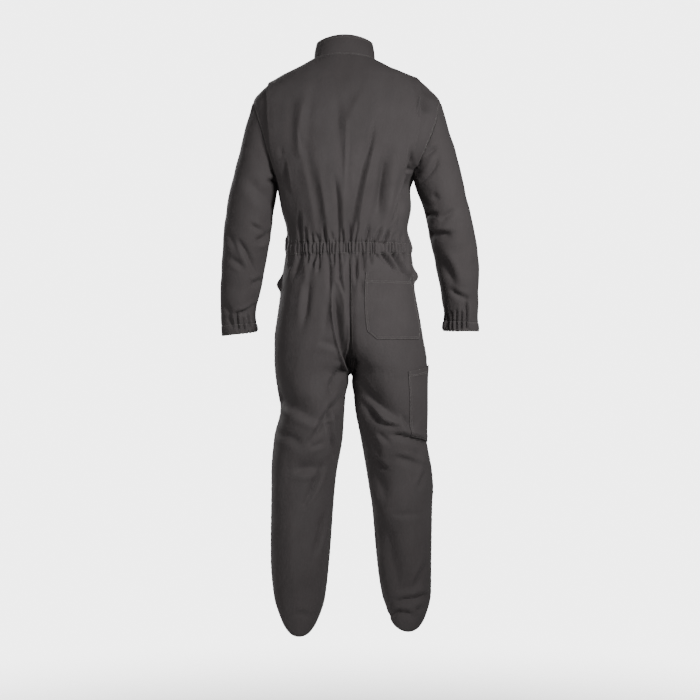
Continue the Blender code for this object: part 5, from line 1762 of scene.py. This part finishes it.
@dataclass
class Sleeve:
    """A sleeve with its gathered cuff casing."""

    form: SleeveForm
    cuff_top: float = 0.972
    row_step: float = 0.0072
    gathers: int = 12
    gather_depth: float = 0.0034
    casing_depth: float = 0.0034
    casings: tuple[float, float] = (0.0405, 0.0365)
    casing_thick: float = 0.0016
    casing_rows: tuple[float, ...] = (
        *(-0.030, 0.075, 0.15, 0.26, 0.38, 0.50, 0.62, 0.74, 0.84, 0.92, 0.965, 1.0),
    )
    head_rows: tuple[float, ...] = (0.00005, 0.0012, 0.0028, 0.0050, 0.0080, 0.0120)
    foot_rows: tuple[float, ...] = (0.0150, 0.0105, 0.0065, 0.0035, 0.0015, 0.0)
    arm_from: float = 0.0180
    length: float = 0.62
    radius: float = 0.06
    gathered_share: float = 0.11
    stitches: Stitching | None = None
    cloth: Cloth | None = None
    cuff: Cloth | None = None

    def inner(self, turn: Array) -> Array:
        """1 on the half that faces the body, where the elastic draws most, and 0 outside it."""
        return smooth_step(0.55 - np.cos(turn))

    def drawn(self, turn: Array, sharp: float) -> Array:
        """Puffs of the inner half where the elastic draws the cloth up, from 0 to 1."""
        phase = (turn - math.pi / 2) / math.pi * self.gathers
        phase = phase + 0.16 * wave(turn / 0.8, 3.0 + int(self.form.side))
        return self.inner(turn) * np.abs(np.sin(math.pi * phase)) ** sharp

    def build(self) -> None:
        """Make the sleeve and its casing."""
        side = self.form.side
        turns = np.arange(2 * ARM_STEPS) * math.pi / ARM_STEPS
        middle = np.arange(self.arm_from, self.cuff_top - 0.016, self.row_step)
        foot = self.cuff_top - np.array(self.foot_rows)
        turn, at = np.meshgrid(turns, np.concatenate([self.head_rows, middle, foot]))
        fade = smooth_step((at - self.cuff_top + self.gathered_share) / self.gathered_share)
        puff = self.drawn(turn, 0.9) * (fade * 0.8 + 0.2 * fade**6) * self.gather_depth
        past = turn - math.pi
        ridge = 0.0005 * smooth_step(past / 0.02) * bell((past - 0.06) / 0.07)
        seam = -0.0007 * bell(past / 0.018) + ridge
        head = 0.0009 * wave(turn / 0.30, 2.0 + int(side)) * bell((at - 0.012) / 0.022)
        head, seam = head * smooth_step(at / 0.006), seam * smooth_step(at / 0.012)
        head = head + 0.0022 * smooth_step(at / 0.008) * (1 - smooth_step(at / 0.14))
        foot = -0.0010 * bell((self.cuff_top - at) * self.length / 0.0014)
        lift = puff - self.gather_depth * 0.45 * fade * self.inner(turn)
        points, outward = self.form.cloth_points(turn, at, lift + seam + head + foot)
        # Lightened at the head and along the seam under the arm: partly rubbing, partly a painted
        # highlight.
        wear = bell(at * self.length / 0.0035) * 0.7 + bell(past * self.radius / 0.003) * 0.5
        self.cloth = Cloth(points, outward, np.clip(wear, 0, 1), closed=True)
        made = self.cloth.shell("sleeve_cloth_" + side.label, TWILL)
        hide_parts("sleeve_" + side.label)
        self.build_cuff(side)

    def build_cuff(self, side: Side) -> None:
        """Make the casing."""
        plain = np.linspace(-math.pi / 2, math.pi / 2, 48)
        turns = np.concatenate([plain, np.linspace(math.pi / 2, 3 * math.pi / 2, 150)[1:-1]])
        casing = self.casings[int(side is Side.LEFT)]
        turn, at = np.meshgrid(turns, self.cuff_top + np.array(self.casing_rows) * casing)
        share = np.clip((at - self.cuff_top) / casing, 0, 1)
        swell = 0.50 + 0.50 * np.sin(math.pi * share) ** 0.6
        drawn = self.drawn(turn, 0.7)
        puff = drawn * self.casing_depth * swell * (0.8 + 0.2 * wave(turn / 0.5, 6.0))
        sewn = -0.0009 * bell((share - 0.10) / 0.045) - 0.0008 * bell((share - 0.90) / 0.04)
        rolled = -0.0010 * bell(share / 0.03) - 0.0012 * bell((1 - share) / 0.03)
        rolled = rolled - 0.0030 * smooth_step((share - 0.75) / 0.25) * smooth_step(-np.cos(turn) / 0.8)
        lift = 0.0009 + puff - self.casing_depth * 0.35 * self.inner(turn)
        points, outward = self.form.cloth_points(turn, at, lift + sewn + rolled)
        points[..., 2] -= 0.0026 * (drawn - 0.5) * smooth_step((share - 0.3) / 0.7)
        # Lightened towards the cuff's mouth: partly rubbing, partly a painted highlight.
        wear = bell((1 - share) / 0.12)
        self.cuff = Cloth(points, outward, wear, closed=True)
        made = self.cuff.shell("cuff_cloth_" + side.label, TWILL, self.casing_thick)
        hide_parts("cuff_" + side.label)

    def dress(self) -> None:
        """Sew the seam under the arm and the casing's edges."""
        self.stitches = Stitching("stitches_sleeve_" + self.form.side.label)
        for column in (ARM_STEPS + 1, ARM_STEPS + 2):
            self.stitches.add(self.cloth.column(column, 4, -4))
        for row in (1, 9):
            self.stitches.add(self.cuff.row(row))
        self.stitches.build()


@dataclass
class Trousers:
    """One side's trouser panels, back and front, with the pocketing in the pocket mouth, coloured near
    black as painted shade.
    """

    form: BodyForm
    side: Side
    step: float = 0.0027
    row_step: float = 0.0052
    hem_roll: float = 0.0022
    hem_ridge: float = 0.0006
    hem_depth: float = 0.018
    mouth_drops: tuple[float, float] = (0.640, 0.752)
    mouth_angles: tuple[float, float] = (-0.22, 0.05)
    mouth_grid: tuple[int, int] = (26, 16)
    mouth_inset: float = 0.0036
    mouth_thick: float = 0.0009
    stitches: Stitching | None = None
    cloths: dict[str, Cloth] = field(default_factory=dict)

    def drops(self, top: float) -> Array:
        """Rows from the waist to the hem, with one at the crotch and at the zip's foot."""
        seat = steps(top, CROTCH_DROP, self.row_step, HEM_LINES, close=False)
        leg = steps(HEM_DROP, CROTCH_DROP, self.row_step, HEM_LINES, close=False)[::-1]
        return np.concatenate([seat, leg[1:]])

    def angles(self, drops: Array, back: bool) -> tuple[Array, Array]:
        """The edges of the back or the front panel at each drop."""
        sign = signs(self.side, drops)
        turn = 1 if back else -1
        at_side = self.form.inset(sign, np.zeros_like(drops), drops, turn * EDGE)
        gap = EDGE if back else np.where(drops <= ZIP_FOOT_DROP, ZIP_HALF_GAP, EDGE)
        at_middle = turn * self.form.angle_at(sign, gap, drops)
        inside = self.form.inset(sign, np.full_like(drops, turn * math.pi), drops, -turn * EDGE)
        return at_side, np.where(drops > CROTCH_DROP, inside, at_middle)

    def back(self) -> None:
        """The back panel."""
        drops = self.drops(BAND_FOOT_DROP - TUCK)
        at_side, at_middle = self.angles(drops, True)
        layout = self.form.lay(self.side, drops, at_side, at_middle, self.step)
        ridge = 0.0007 if self.side is Side.RIGHT else 0.0
        seat = Seam(ridge=ridge, pitch=0.016, pucker=0.0006, seed=11.0)
        felled = Seam(ridge=0.0007, pitch=0.015, pucker=0.0006, seed=12.0 + int(self.side))
        extra = seat.relief(layout.last, layout.drop) + felled.relief(layout.first, layout.drop)
        extra = extra + tucked(BAND_FOOT_DROP - layout.drop) + self.hem(layout.drop)
        cloth = self.form.panel(layout, extra, layout.last)
        self.cloths["back"] = cloth
        made = cloth.shell("trouser_back_cloth_" + self.side.label, TWILL)
        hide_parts("trouser_back_" + self.side.label)

    def hem(self, drop: Array) -> Array:
        """How the hem rolls in at its foot."""
        away = HEM_DROP - drop
        ridge = self.hem_ridge * bell((away - self.hem_depth) / 0.010)
        return -self.hem_roll * bell(away / 0.0035) + ridge

    def front(self) -> None:
        """The front panel."""
        drops = self.drops(WAIST_DROP + SEAM_GAP)
        at_side, at_middle = self.angles(drops, False)
        layout = self.form.lay(self.side, drops, at_middle, at_side, self.step * 1.9)
        zipped = Seam(groove=0.0003, ridge=0.0005, width=0.0090, pucker=0.0005, pitch=0.024, seed=9.0)
        plain = Seam(pitch=0.015, pucker=0.0005, seed=13.0 + int(self.side))
        upper = 1 - smooth_step((layout.drop - ZIP_FOOT_DROP) / 0.02)
        extra = zipped.relief(layout.first, layout.drop) * upper
        extra = extra + plain.relief(layout.first, layout.drop) * (1 - upper)
        extra = extra + plain.relief(layout.last, layout.drop) + self.hem(layout.drop)
        waist = Seam(pitch=0.022, seed=6.0)
        extra = extra + waist.relief(layout.drop - WAIST_DROP, layout.angle * WAIST_RADIUS)
        below = np.where(layout.drop > ZIP_FOOT_DROP, layout.first, 1.0)
        cloth = self.form.panel(layout, extra, below)
        self.cloths["front"] = cloth
        made = cloth.shell("trouser_front_cloth_" + self.side.label, TWILL)
        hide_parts("trouser_front_" + self.side.label)

    def pocketing(self) -> None:
        """The pocketing behind the pocket's mouth, near black as painted shade in its gap."""
        drops = np.linspace(*self.mouth_drops, self.mouth_grid[0])
        angles, grid = np.meshgrid(np.linspace(*self.mouth_angles, self.mouth_grid[1]), drops)
        sign = signs(self.side, angles)
        normal = self.form.normal(sign, angles, grid)
        slack = 0.0004 * wave(grid / 0.02, 5.0)
        points = self.form.smooth(sign, angles, grid) + normal * slack[..., None]
        cloth = Cloth(points, normal, np.zeros_like(angles))
        name = "side_pocket_cloth_" + self.side.label
        made = cloth.shell(name, POCKETING_PAINTED_SHADE, self.mouth_thick, -self.mouth_inset)
        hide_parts("side_pocket_" + self.side.label)

    def build(self) -> None:
        """Make the panels."""
        self.back()
        self.front()
        self.pocketing()

    def dress(self) -> None:
        """Sew the side, seat and inside-leg seams, the fly and the pocket's mouth."""
        self.stitches = Stitching("stitches_trousers_" + self.side.label)
        back, front = self.cloths["back"], self.cloths["front"]
        for edge in STITCH_ROWS:
            self.stitches.add(back.column(edge, 3, -3))
        if self.side is Side.RIGHT:
            seat = int(np.searchsorted(self.drops(BAND_FOOT_DROP - TUCK), CROTCH_DROP - 0.01))
            for edge in STITCH_ROWS:
                self.stitches.add(back.column(-1 - edge, 3, seat))
        drops = self.drops(WAIST_DROP + SEAM_GAP)
        foot = int(np.searchsorted(drops, ZIP_FOOT_DROP - 0.008))
        self.stitches.add(front.column(SECOND_STITCH, 2, foot))
        self.stitches.add(front.row(FIRST_STITCH, 3, -3))
        place = int(self.side is Side.LEFT)
        ends = (self.form.mouth_tops[place], self.form.mouth_feet[place] + 0.01)
        top, low = (int(np.searchsorted(drops, d)) for d in ends)
        for edge in STITCH_ROWS:
            self.stitches.add(front.column(-1 - edge, top, low))
        self.stitches.build()


@dataclass
class PatchPocket:
    """A patch pocket that lies on the right trouser panels.

    Each of its edges' rows holds a drop and the angles of its first and last edge there. The
    lean is how much lower its last edge lies at the mouth and at the foot.
    """

    form: BodyForm
    name: str
    node: str
    edges: Rows
    step: float = 0.0030
    row_step: float = 0.0040
    gap: float = 0.0006
    thick: float = 0.0014
    flat: tuple[float, float] = (0.17, 0.19)
    area: float = 0.029
    mouth: float = 0.030
    lean: tuple[float, float] = (0.0, 0.0)
    pucker: float = 0.0004
    sewn_dip: float = 0.0004
    slack: float = 0.0022
    slack_reach: float = 0.030
    hem_dip: float = 0.0005
    hem_rise: float = 0.0004
    cover: float = 0.0010
    stitches: Stitching | None = None
    cloth: Cloth | None = None

    def drops(self) -> Array:
        """Rows from the mouth to the foot."""
        return steps(self.edges[0][0], self.edges[-1][0], self.row_step, HEM_LINES)

    def build(self) -> None:
        """Make the pocket between its two edges."""
        drops = self.drops()
        places, firsts, lasts = np.array(self.edges).T
        first, last = np.interp(drops, places, firsts), np.interp(drops, places, lasts)
        layout = self.form.lay(Side.RIGHT, drops, first, last, self.step)
        top, foot = layout.drop - drops[0], drops[-1] - layout.drop
        behind = np.clip(np.abs(layout.angle) / np.abs(last[:, None]), 0, 1)
        lean = self.lean[0] + (self.lean[1] - self.lean[0]) * top / top[-1]
        layout.drop = layout.drop + behind * lean
        away = np.minimum(np.minimum(layout.first, layout.last), foot)
        pucker = self.pucker * wave((layout.drop + layout.angle * 0.15) / 0.013, 15.0)
        pucker = pucker * bell((away - 0.004) / 0.010)
        near, far = (HEM_LINES[edge] for edge in STITCH_ROWS)
        sewn = -self.sewn_dip * bell((away - near) / 0.0009)
        sewn = sewn - self.sewn_dip * bell((away - far) / 0.0009)
        slack = self.slack * bell(top / self.slack_reach) * smooth_step(away / self.slack_reach)
        hem = self.hem_rise * (1 - smooth_step((top - self.mouth) / 0.002))
        hem = hem - self.hem_dip * bell((top - self.mouth) / 0.0010)
        cover = self.cover * bell(layout.angle / 0.10)
        rise = self.gap + self.thick + np.abs(pucker) + sewn + slack + hem + cover
        self.cloth = self.form.panel(layout, rise)
        made = self.cloth.shell(self.name, TWILL, self.thick)
        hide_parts(self.node)

    def dress(self) -> None:
        """Sew the two rows round the pocket and the two of its mouth."""
        self.stitches = Stitching("stitches_" + self.name)
        drops = self.drops()
        for edge in STITCH_ROWS:
            self.stitches.add(self.cloth.column(edge, 1, -1 - edge))
            self.stitches.add(self.cloth.column(-1 - edge, 1, -1 - edge))
            self.stitches.add(self.cloth.row(-1 - edge, edge, -edge))
            row = int(np.searchsorted(drops, drops[0] + self.mouth - 0.001 * edge * 2))
            self.stitches.add(self.cloth.row(row, edge, -edge))
        self.stitches.build()


# Half of a tooth's outline, across and up, and the height and scale of each of its rings
TOOTH_OUTLINE = ((-0.0027, -0.0005), (-0.0004, -0.0005), (0.0003, -0.0010), (0.0011, -0.0009))
TOOTH_LEVELS = ((-0.0028, 0.72), (-0.0025, 1.0), (-0.0006, 1.0), (-0.0002, 0.74))


@dataclass
class Zip:
    """The front zip: tapes behind the fronts, two rows of teeth, a slider, its pull and a stop."""

    form: BodyForm
    collar: Collar
    bodice: Bodice
    trousers: dict[Side, Trousers]
    tape_inner: float = 0.0009
    tape_outer: float = 0.0165
    tape_inset: float = 0.0006
    tape_thick: float = 0.0008
    tooth_pitch: float = 0.0030
    first_tooth: float = 0.0085
    last_tooth: float = 0.004
    line: Array | None = None
    outward: Array | None = None

    def edge(self, side: Side) -> tuple[Array, Array, Array]:
        """The front's edge from the collar's top to the zip's foot.

        Args:
            side: The front.

        Returns:
            Its points, the directions into the cloth and the outward normals.
        """
        column, beside = (0, BESIDE) if side is Side.LEFT else (-1, -1 - BESIDE)
        neck, chest = self.collar.cloth, self.bodice.cloths["front_" + side.label]
        lap = self.trousers[side].cloths["front"]
        foot = int(np.searchsorted(self.trousers[side].drops(WAIST_DROP + SEAM_GAP), ZIP_FOOT_DROP))
        runs = (
            (neck.points[:-3, column], neck.points[:-3, beside], neck.normal[:-3, beside]),
            (chest.points[2:-2, 0], chest.points[2:-2, BESIDE], chest.normal[2:-2, BESIDE]),
            (lap.points[2:foot, 0], lap.points[2:foot, BESIDE], lap.normal[2:foot, BESIDE]),
        )
        points, inner, normal = (np.concatenate(part) for part in zip(*runs))
        into = unit(inner - points)
        for _ in range(6):
            normal[1:-1] = unit(normal[:-2] + normal[1:-1] * 2 + normal[2:])
            into[1:-1] = unit(into[:-2] + into[1:-1] * 2 + into[2:])
        return points, into, normal

    def tape(self, side: Side, edge: tuple[Array, Array, Array]) -> None:
        """A tape, behind the first strip of the front."""
        points, into, normal = edge
        reach = np.linspace(self.tape_inner, self.tape_outer, 7) - ZIP_HALF_GAP
        grid = points[:, None] + into[:, None] * reach[None, :, None]
        across = np.repeat(normal[:, None], len(reach), axis=1)
        cloth = Cloth(grid, across, np.zeros(grid.shape[:2]))
        behind = -CLOTH - self.tape_inset
        made = cloth.shell("zip_tape_cloth_" + side.label, TAPE, self.tape_thick, behind)
        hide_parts("zip_tape_" + side.label)

    def teeth(self) -> None:
        """Two rows of moulded teeth that mesh along the middle line."""
        far = distances(self.line)
        places = np.arange(self.first_tooth, far[-1] - self.last_tooth, self.tooth_pitch / 2)
        at = read_line(places, far, self.line)
        out = unit(read_line(places, far, self.outward))
        up = unit(at - read_line(places + NUDGE, far, self.line))
        across = unit(np.cross(up, out))
        hand = np.where(np.arange(len(places)) % 2 == 0, 1.0, -1.0)
        outline = np.array(TOOTH_OUTLINE)
        outline = np.concatenate([outline, outline[::-1] * [1, -1]])
        rings = []
        for height, scale in TOOTH_LEVELS:
            for a, b in outline:
                spot = at + across * (hand * a * scale)[:, None] + up * (b * scale) + out * height
                rings.append(spot)
        points = np.stack(rings, axis=1)
        size = (len(TOOTH_LEVELS), len(outline))
        each = np.array(wall_faces(*size) + end_faces(*size))
        turned = each[:, ::-1]
        count = points.shape[1]
        every = [(each if h < 0 else turned) + i * count for i, h in enumerate(hand)]
        made = make_mesh("zip_teeth_rows", points.reshape(-1, 3), np.concatenate(every), TEETH)
        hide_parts("zip_chain")

    def build(self) -> None:
        """Make the zip."""
        left, right = self.edge(Side.LEFT), self.edge(Side.RIGHT)
        self.tape(Side.LEFT, left)
        self.tape(Side.RIGHT, right)
        self.line = (left[0] + right[0]) / 2
        self.outward = unit(left[2] + right[2])
        self.teeth()

    def dress(self) -> None:
        """Make the slider, its pull and the bottom stop."""
        Slider().build()
        Pull().build()
        Stop().build()


def wall_faces(levels: int, count: int, start: int = 0) -> list[tuple[int, ...]]:
    """Quads between rings of as many points each, that follow one another."""
    faces = []
    for low in range(start, start + (levels - 1) * count, count):
        for k in range(count):
            high, after = low + count, (k + 1) % count
            faces.append((low + k, low + after, high + after, high + k))
    return faces


def end_faces(levels: int, count: int) -> list[tuple[int, ...]]:
    """Quads that close the first and the last of those rings."""
    faces, top = [], (levels - 1) * count
    for k in range(count // 2 - 1):
        faces.append((k, count - 1 - k, count - 2 - k, k + 1))
        faces.append((top + k, top + k + 1, top + count - 2 - k, top + count - 1 - k))
    return faces


def plate(outline: Array, levels: Rows, place: Place, hole: Array | None = None) -> Points:
    """A chamfered plate from an outline, with a window where a hole is given.

    Args:
        outline: Its corners, across and up.
        levels: The height and inset of each ring, from the back to the front.
        place: Its centre with its axes across, up and out.
        hole: As many corners for a window.

    Returns:
        Points and quads.
    """
    centre, across, up, out = place
    count = len(outline)

    def ring(shape: Array, inset: float, height: float) -> Array:
        """One ring of points, drawn in towards the outline's middle line."""
        before, after = np.roll(shape, 1, axis=0), np.roll(shape, -1, axis=0)
        along = unit(after - before)
        inward = np.stack([-along[:, 1], along[:, 0]], axis=1)
        flat = shape + inward * inset
        return centre + flat[:, :1] * across + flat[:, 1:] * up + height * out

    points = [ring(outline, inset, height) for height, inset in levels]
    faces = wall_faces(len(levels), count)
    if hole is None:
        return np.concatenate(points), np.array(faces + end_faces(len(levels), count))
    base, top = len(levels) * count, (len(levels) - 1) * count
    points += [ring(hole, -inset, height) for height, inset in levels]
    faces += [(a, d, c, b) for a, b, c, d in wall_faces(len(levels), count, base)]
    for k in range(count):
        after = (k + 1) % count
        faces.append((k, base + k, base + after, after))
        faces.append((top + k, top + after, base + top + after, base + top + k))
    return np.concatenate(points), np.array(faces)


def rounded(half_width: float, low: float, high: float, radius: float, each: int = 5) -> Array:
    """A rectangle with rounded corners, anticlockwise from its lower left."""
    low, high, beside = low + radius, high - radius, half_width - radius
    corners = []
    for x, y, start in ((-beside, low, 180), (beside, low, 270), (beside, high, 0), (-beside, high, 90)):
        for k in range(each):
            angle = math.radians(start + 90 * k / (each - 1))
            corners.append((x + radius * math.cos(angle), y + radius * math.sin(angle)))
    return np.array(corners)


def merged(parts: list[Points]) -> Points:
    """Several meshes of quads as one."""
    points, faces, start = [], [], 0
    for spots, quads in parts:
        points.append(spots)
        faces.append(quads + start)
        start += len(spots)
    return np.concatenate(points), np.concatenate(faces)


def node_points(name: str) -> Array:
    """The corners of a node's solid."""
    node = frame["nodes"][name]
    return np.array([node.matrix_world @ v.co for v in node.data.vertices])


def node_axes(name: str) -> Place:
    """The centre of a zip node and its axes across, up the zip and out of the chest."""
    spots = node_points(name)
    centre = (spots.min(axis=0) + spots.max(axis=0)) / 2
    across = np.array([1.0, 0, 0])
    flat = spots - spots.mean(axis=0)
    turned = np.linalg.svd(flat * [0, 1, 1])[2][0]
    up = unit(turned * (1 if turned[2] > 0 else -1))
    return centre, across, up, np.cross(across, up)


def local_box(name: str, place: Place) -> tuple[Array, Array]:
    """A node's lowest and highest corners along the axes of a place."""
    spots = node_points(name) - place[0]
    flat = np.stack([spots @ axis for axis in place[1:]], axis=1)
    return flat.min(axis=0), flat.max(axis=0)


@dataclass
class Slider:
    """The zip's slider: two shield-shaped plates, a post and a bridge for the pull."""

    node: str = "zip_slider"
    chamfer: float = 0.0004
    loop_reach: float = 0.0036
    loop_wide: float = 0.0010
    loop_foot: float = 0.0014

    def build(self) -> None:
        """Make the slider where its solid is."""
        place = zip_place()
        low, high = local_box(self.node, place)
        half, foot, top = high[0], low[1], high[1]
        right = [(0.62, foot), (0.95, foot * 0.45), (1.0, top * 0.30), (0.92, top * 0.86), (0.60, top)]
        left = [(-x, y) for x, y in right[:0:-1]]
        outline = [(-0.62, foot), *right, (0.0, top * 0.90), *left, (-0.80, foot * 0.75)]
        shield = np.array(outline) * [half, 1.0]
        c = self.chamfer
        front = ((0.0004, 0.0), (0.0012, 0.0), (0.0016, c))
        back = ((-0.0048, c), (-0.0044, 0.0), (-0.0036, 0.0))
        post = rounded(0.0008, 0.0034, top - 0.0002, 0.0004)
        parts = [plate(shield, front, place), plate(shield, back, place)]
        parts.append(plate(post, ((-0.0037, 0.0), (0.0005, 0.0)), place))
        points, faces = merged([*parts, self.bridge(place, high[2])])
        made = make_mesh("zip_slider_metal", points, faces, METAL)
        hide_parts(self.node)

    def bridge(self, place: Place, crown: float) -> Points:
        """The arched loop that holds the pull."""
        centre, across, up, out = place
        turns = np.linspace(0, math.pi, 11)
        rings = []
        for turn in turns:
            for side, deep in ((-1, 0), (1, 0), (1, 1), (-1, 1)):
                along = (self.loop_reach - self.loop_wide * deep) * math.cos(turn)
                reach = (crown - self.loop_foot - self.loop_wide * deep) * math.sin(turn)
                spot = centre + across * side * self.loop_wide + up * along
                rings.append(spot + out * (self.loop_foot + reach))
        return np.array(rings), np.array(wall_faces(len(turns), 4))


def zip_place() -> Place:
    """The slider's own centre with its axes, from the hinge and the pull's long side."""
    pull = node_axes("zip_pull")
    hinge = np.array(frame["joints"][0]["pos_m"], float)
    up, out = pull[2], pull[3]
    centre = hinge + up * 0.0013 - out * 0.0026
    return centre, pull[1], up, out


@dataclass
class Pull:
    """The pull tab, with its window round the bridge and a rounded foot."""

    node: str = "zip_pull"
    chamfer: float = 0.0002

    def build(self) -> None:
        """Make the tab where its solid is."""
        place = zip_place()
        low, high = local_box(self.node, place)
        outline = rounded(high[0], low[1], high[1], 0.0022)
        hole = rounded(0.0016, high[1] - 0.0064, high[1] - 0.0012, 0.0007)
        back, front, c = low[2], high[2], self.chamfer
        levels = ((back, c), (back + c, 0.0), (front - c, 0.0), (front, c))
        points, faces = plate(outline, levels, place, hole)
        made = make_mesh("zip_pull_metal", points, faces, METAL, body=Body.PULL_TAB)
        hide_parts(self.node)


@dataclass
class Stop:
    """The stop at the zip's foot: a pressed staple."""

    node: str = "zip_stop"

    def build(self) -> None:
        """Make the stop where its solid is."""
        place = node_axes(self.node)
        low, high = local_box(self.node, place)
        outline = rounded(high[0], low[1], high[1], 0.0006, 4)
        levels = ((low[2], 0.0003), (low[2] + 0.0004, 0.0), (high[2] - 0.0004, 0.0), (high[2], 0.0003))
        points, faces = plate(outline, levels, place)
        made = make_mesh("zip_stop_metal", points, faces, METAL)
        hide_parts(self.node)


# ---- the studio


@dataclass
class Studio:
    """Camera, plain pale floor and soft lights."""

    lens: float = SENSOR * VIEW_DISTANCE / VIEW_SPAN
    floor_z: float = -2.0
    floor_reach: float = 4.5
    floor_corners: int = 96
    look_z: float = -0.62
    seen_strength: float = 4.5
    fill_strength: float = 0.12

    def camera(self) -> None:
        """Set the camera level behind the garment."""
        made = bpy.data.cameras.new("camera")
        made.lens = self.lens
        made.sensor_width = SENSOR
        made.clip_end = 60.0
        holder = bpy.data.objects.new("camera", made)
        holder.location = (VIEW_ACROSS, VIEW_DISTANCE, VIEW_HEIGHT)
        holder.rotation_euler = (math.pi / 2, 0, math.pi)
        bpy.context.scene.collection.objects.link(holder)
        bpy.context.scene.camera = holder

    def light(
        self,
        name: str,
        place: tuple[float, float, float],
        size: float,
        watts: float,
        spread: float = math.pi,
    ) -> None:
        """A large soft light that looks at the garment's middle."""
        made = bpy.data.lights.new(name, "AREA")
        made.shape = "DISK"
        made.size = size
        made.energy = watts
        made.spread = spread
        holder = bpy.data.objects.new(name, made)
        holder.location = place
        aim = holder.location.copy()
        aim.x, aim.y, aim.z = place[0] - VIEW_ACROSS, place[1], place[2] - self.look_z
        holder.rotation_euler = aim.to_track_quat("Z", "Y").to_euler()
        bpy.context.scene.collection.objects.link(holder)

    def floor(self) -> None:
        """Lay the floor, a wide disc that fades out at its edge."""
        turns = np.arange(self.floor_corners) * 2 * math.pi / self.floor_corners
        reach = self.floor_reach
        points = [(reach * math.cos(t), reach * math.sin(t), self.floor_z) for t in turns]
        mesh = bpy.data.meshes.new("floor")
        mesh.from_pydata(points, [], [tuple(range(self.floor_corners))])
        mesh.materials.append(FLOOR.material())
        made = bpy.data.objects.new("floor", mesh)
        bpy.context.scene.collection.objects.link(made)

    def world(self) -> None:
        """A plain white surround that is dimmer as a light than it looks."""
        made = bpy.data.worlds.new("studio")
        made.use_nodes = True
        nodes, links = made.node_tree.nodes, made.node_tree.links
        nodes.clear()
        seen, fill = nodes.new("ShaderNodeBackground"), nodes.new("ShaderNodeBackground")
        seen.inputs["Strength"].default_value = self.seen_strength
        fill.inputs["Strength"].default_value = self.fill_strength
        ray = nodes.new("ShaderNodeLightPath")
        mix = nodes.new("ShaderNodeMixShader")
        out = nodes.new("ShaderNodeOutputWorld")
        for node in (seen, fill):
            node.inputs["Color"].default_value = (1, 1, 1, 1)
        links.new(ray.outputs["Is Camera Ray"], mix.inputs[0])
        links.new(fill.outputs[0], mix.inputs[1])
        links.new(seen.outputs[0], mix.inputs[2])
        links.new(mix.outputs[0], out.inputs[0])
        bpy.context.scene.world = made

    def build(self) -> None:
        """Set up everything round the garment."""
        self.camera()
        self.floor()
        self.world()
        self.light("key", (-1.6, 2.2, 0.35), 0.7, 10.0, 1.05)
        self.light("fill", (3.0, 2.6, -0.1), 2.0, 43)
        self.light("front", (1.8, -3.2, 0.9), 1.4, 105)


# Each row of a pocket's edges is a drop with the shares of the back panel's angle, or of half
# a turn, that its two edges lie at
HIP_SHARES = ((0.673, 0.192, 0.84), (0.828, 0.205, 0.84), (0.850, 0.268, 0.745))
TOOL_SHARES = ((0.918, -0.27, 0.345), (1.1255, -0.27, 0.335))


def hip_edges(form: BodyForm) -> Rows:
    """The hip pocket's two edges, as angles, from its shares of the back panel's width."""
    rows = []
    for drop, first, last in HIP_SHARES:
        width = float(form.angle_at(np.array([-1.0]), EDGE, np.array([drop]))[0])
        rows.append((drop, first * width, last * width))
    return tuple(rows)


def tool_edges() -> Rows:
    """The tool pocket's two edges, as angles, from before the side seam to behind it."""
    return tuple((drop, first * math.pi, last * math.pi) for drop, first, last in TOOL_SHARES)


def main() -> None:
    """Dress the suit, piece by piece."""
    logging.basicConfig(level=logging.INFO, format="%(name)s: %(message)s")
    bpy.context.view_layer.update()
    Studio().build()
    form = BodyForm(BODY_TABLE, PLEAT_TABLE, BODY_BACK, BODY_FRONT)
    bodice = Bodice(form)
    collar = Collar(form)
    trousers = {side: Trousers(form, side) for side in Side}
    pieces = [("bodice", bodice), ("waistband", Waistband(form)), ("collar", collar)]
    for side in Side:
        shape = SleeveForm(form, side, SLEEVE_TABLES[side], SLEEVE_BACK[side], SLEEVE_FRONT[side])
        pieces.append(("sleeve " + side.label, Sleeve(shape)))
        pieces.append(("trousers " + side.label, trousers[side]))
    hip = PatchPocket(form, "hip_pocket_cloth", "hip_pocket", hip_edges(form))
    tool = PatchPocket(
        form,
        "tool_pocket_cloth",
        "tool_pocket",
        tool_edges(),
        mouth=0.020,
        lean=(0.016, -0.018),
        flat=(0.215, 0.215),
        area=0.044,
    )
    pieces += [("hip pocket", hip), ("tool pocket", tool)]
    pieces.append(("zip", Zip(form, collar, bodice, trousers)))
    for name, piece in pieces:
        piece.build()
        piece.dress()
        LOG.info("%s made", name)
    LOG.info("sizes written")


if __name__ == "__main__":
    main()
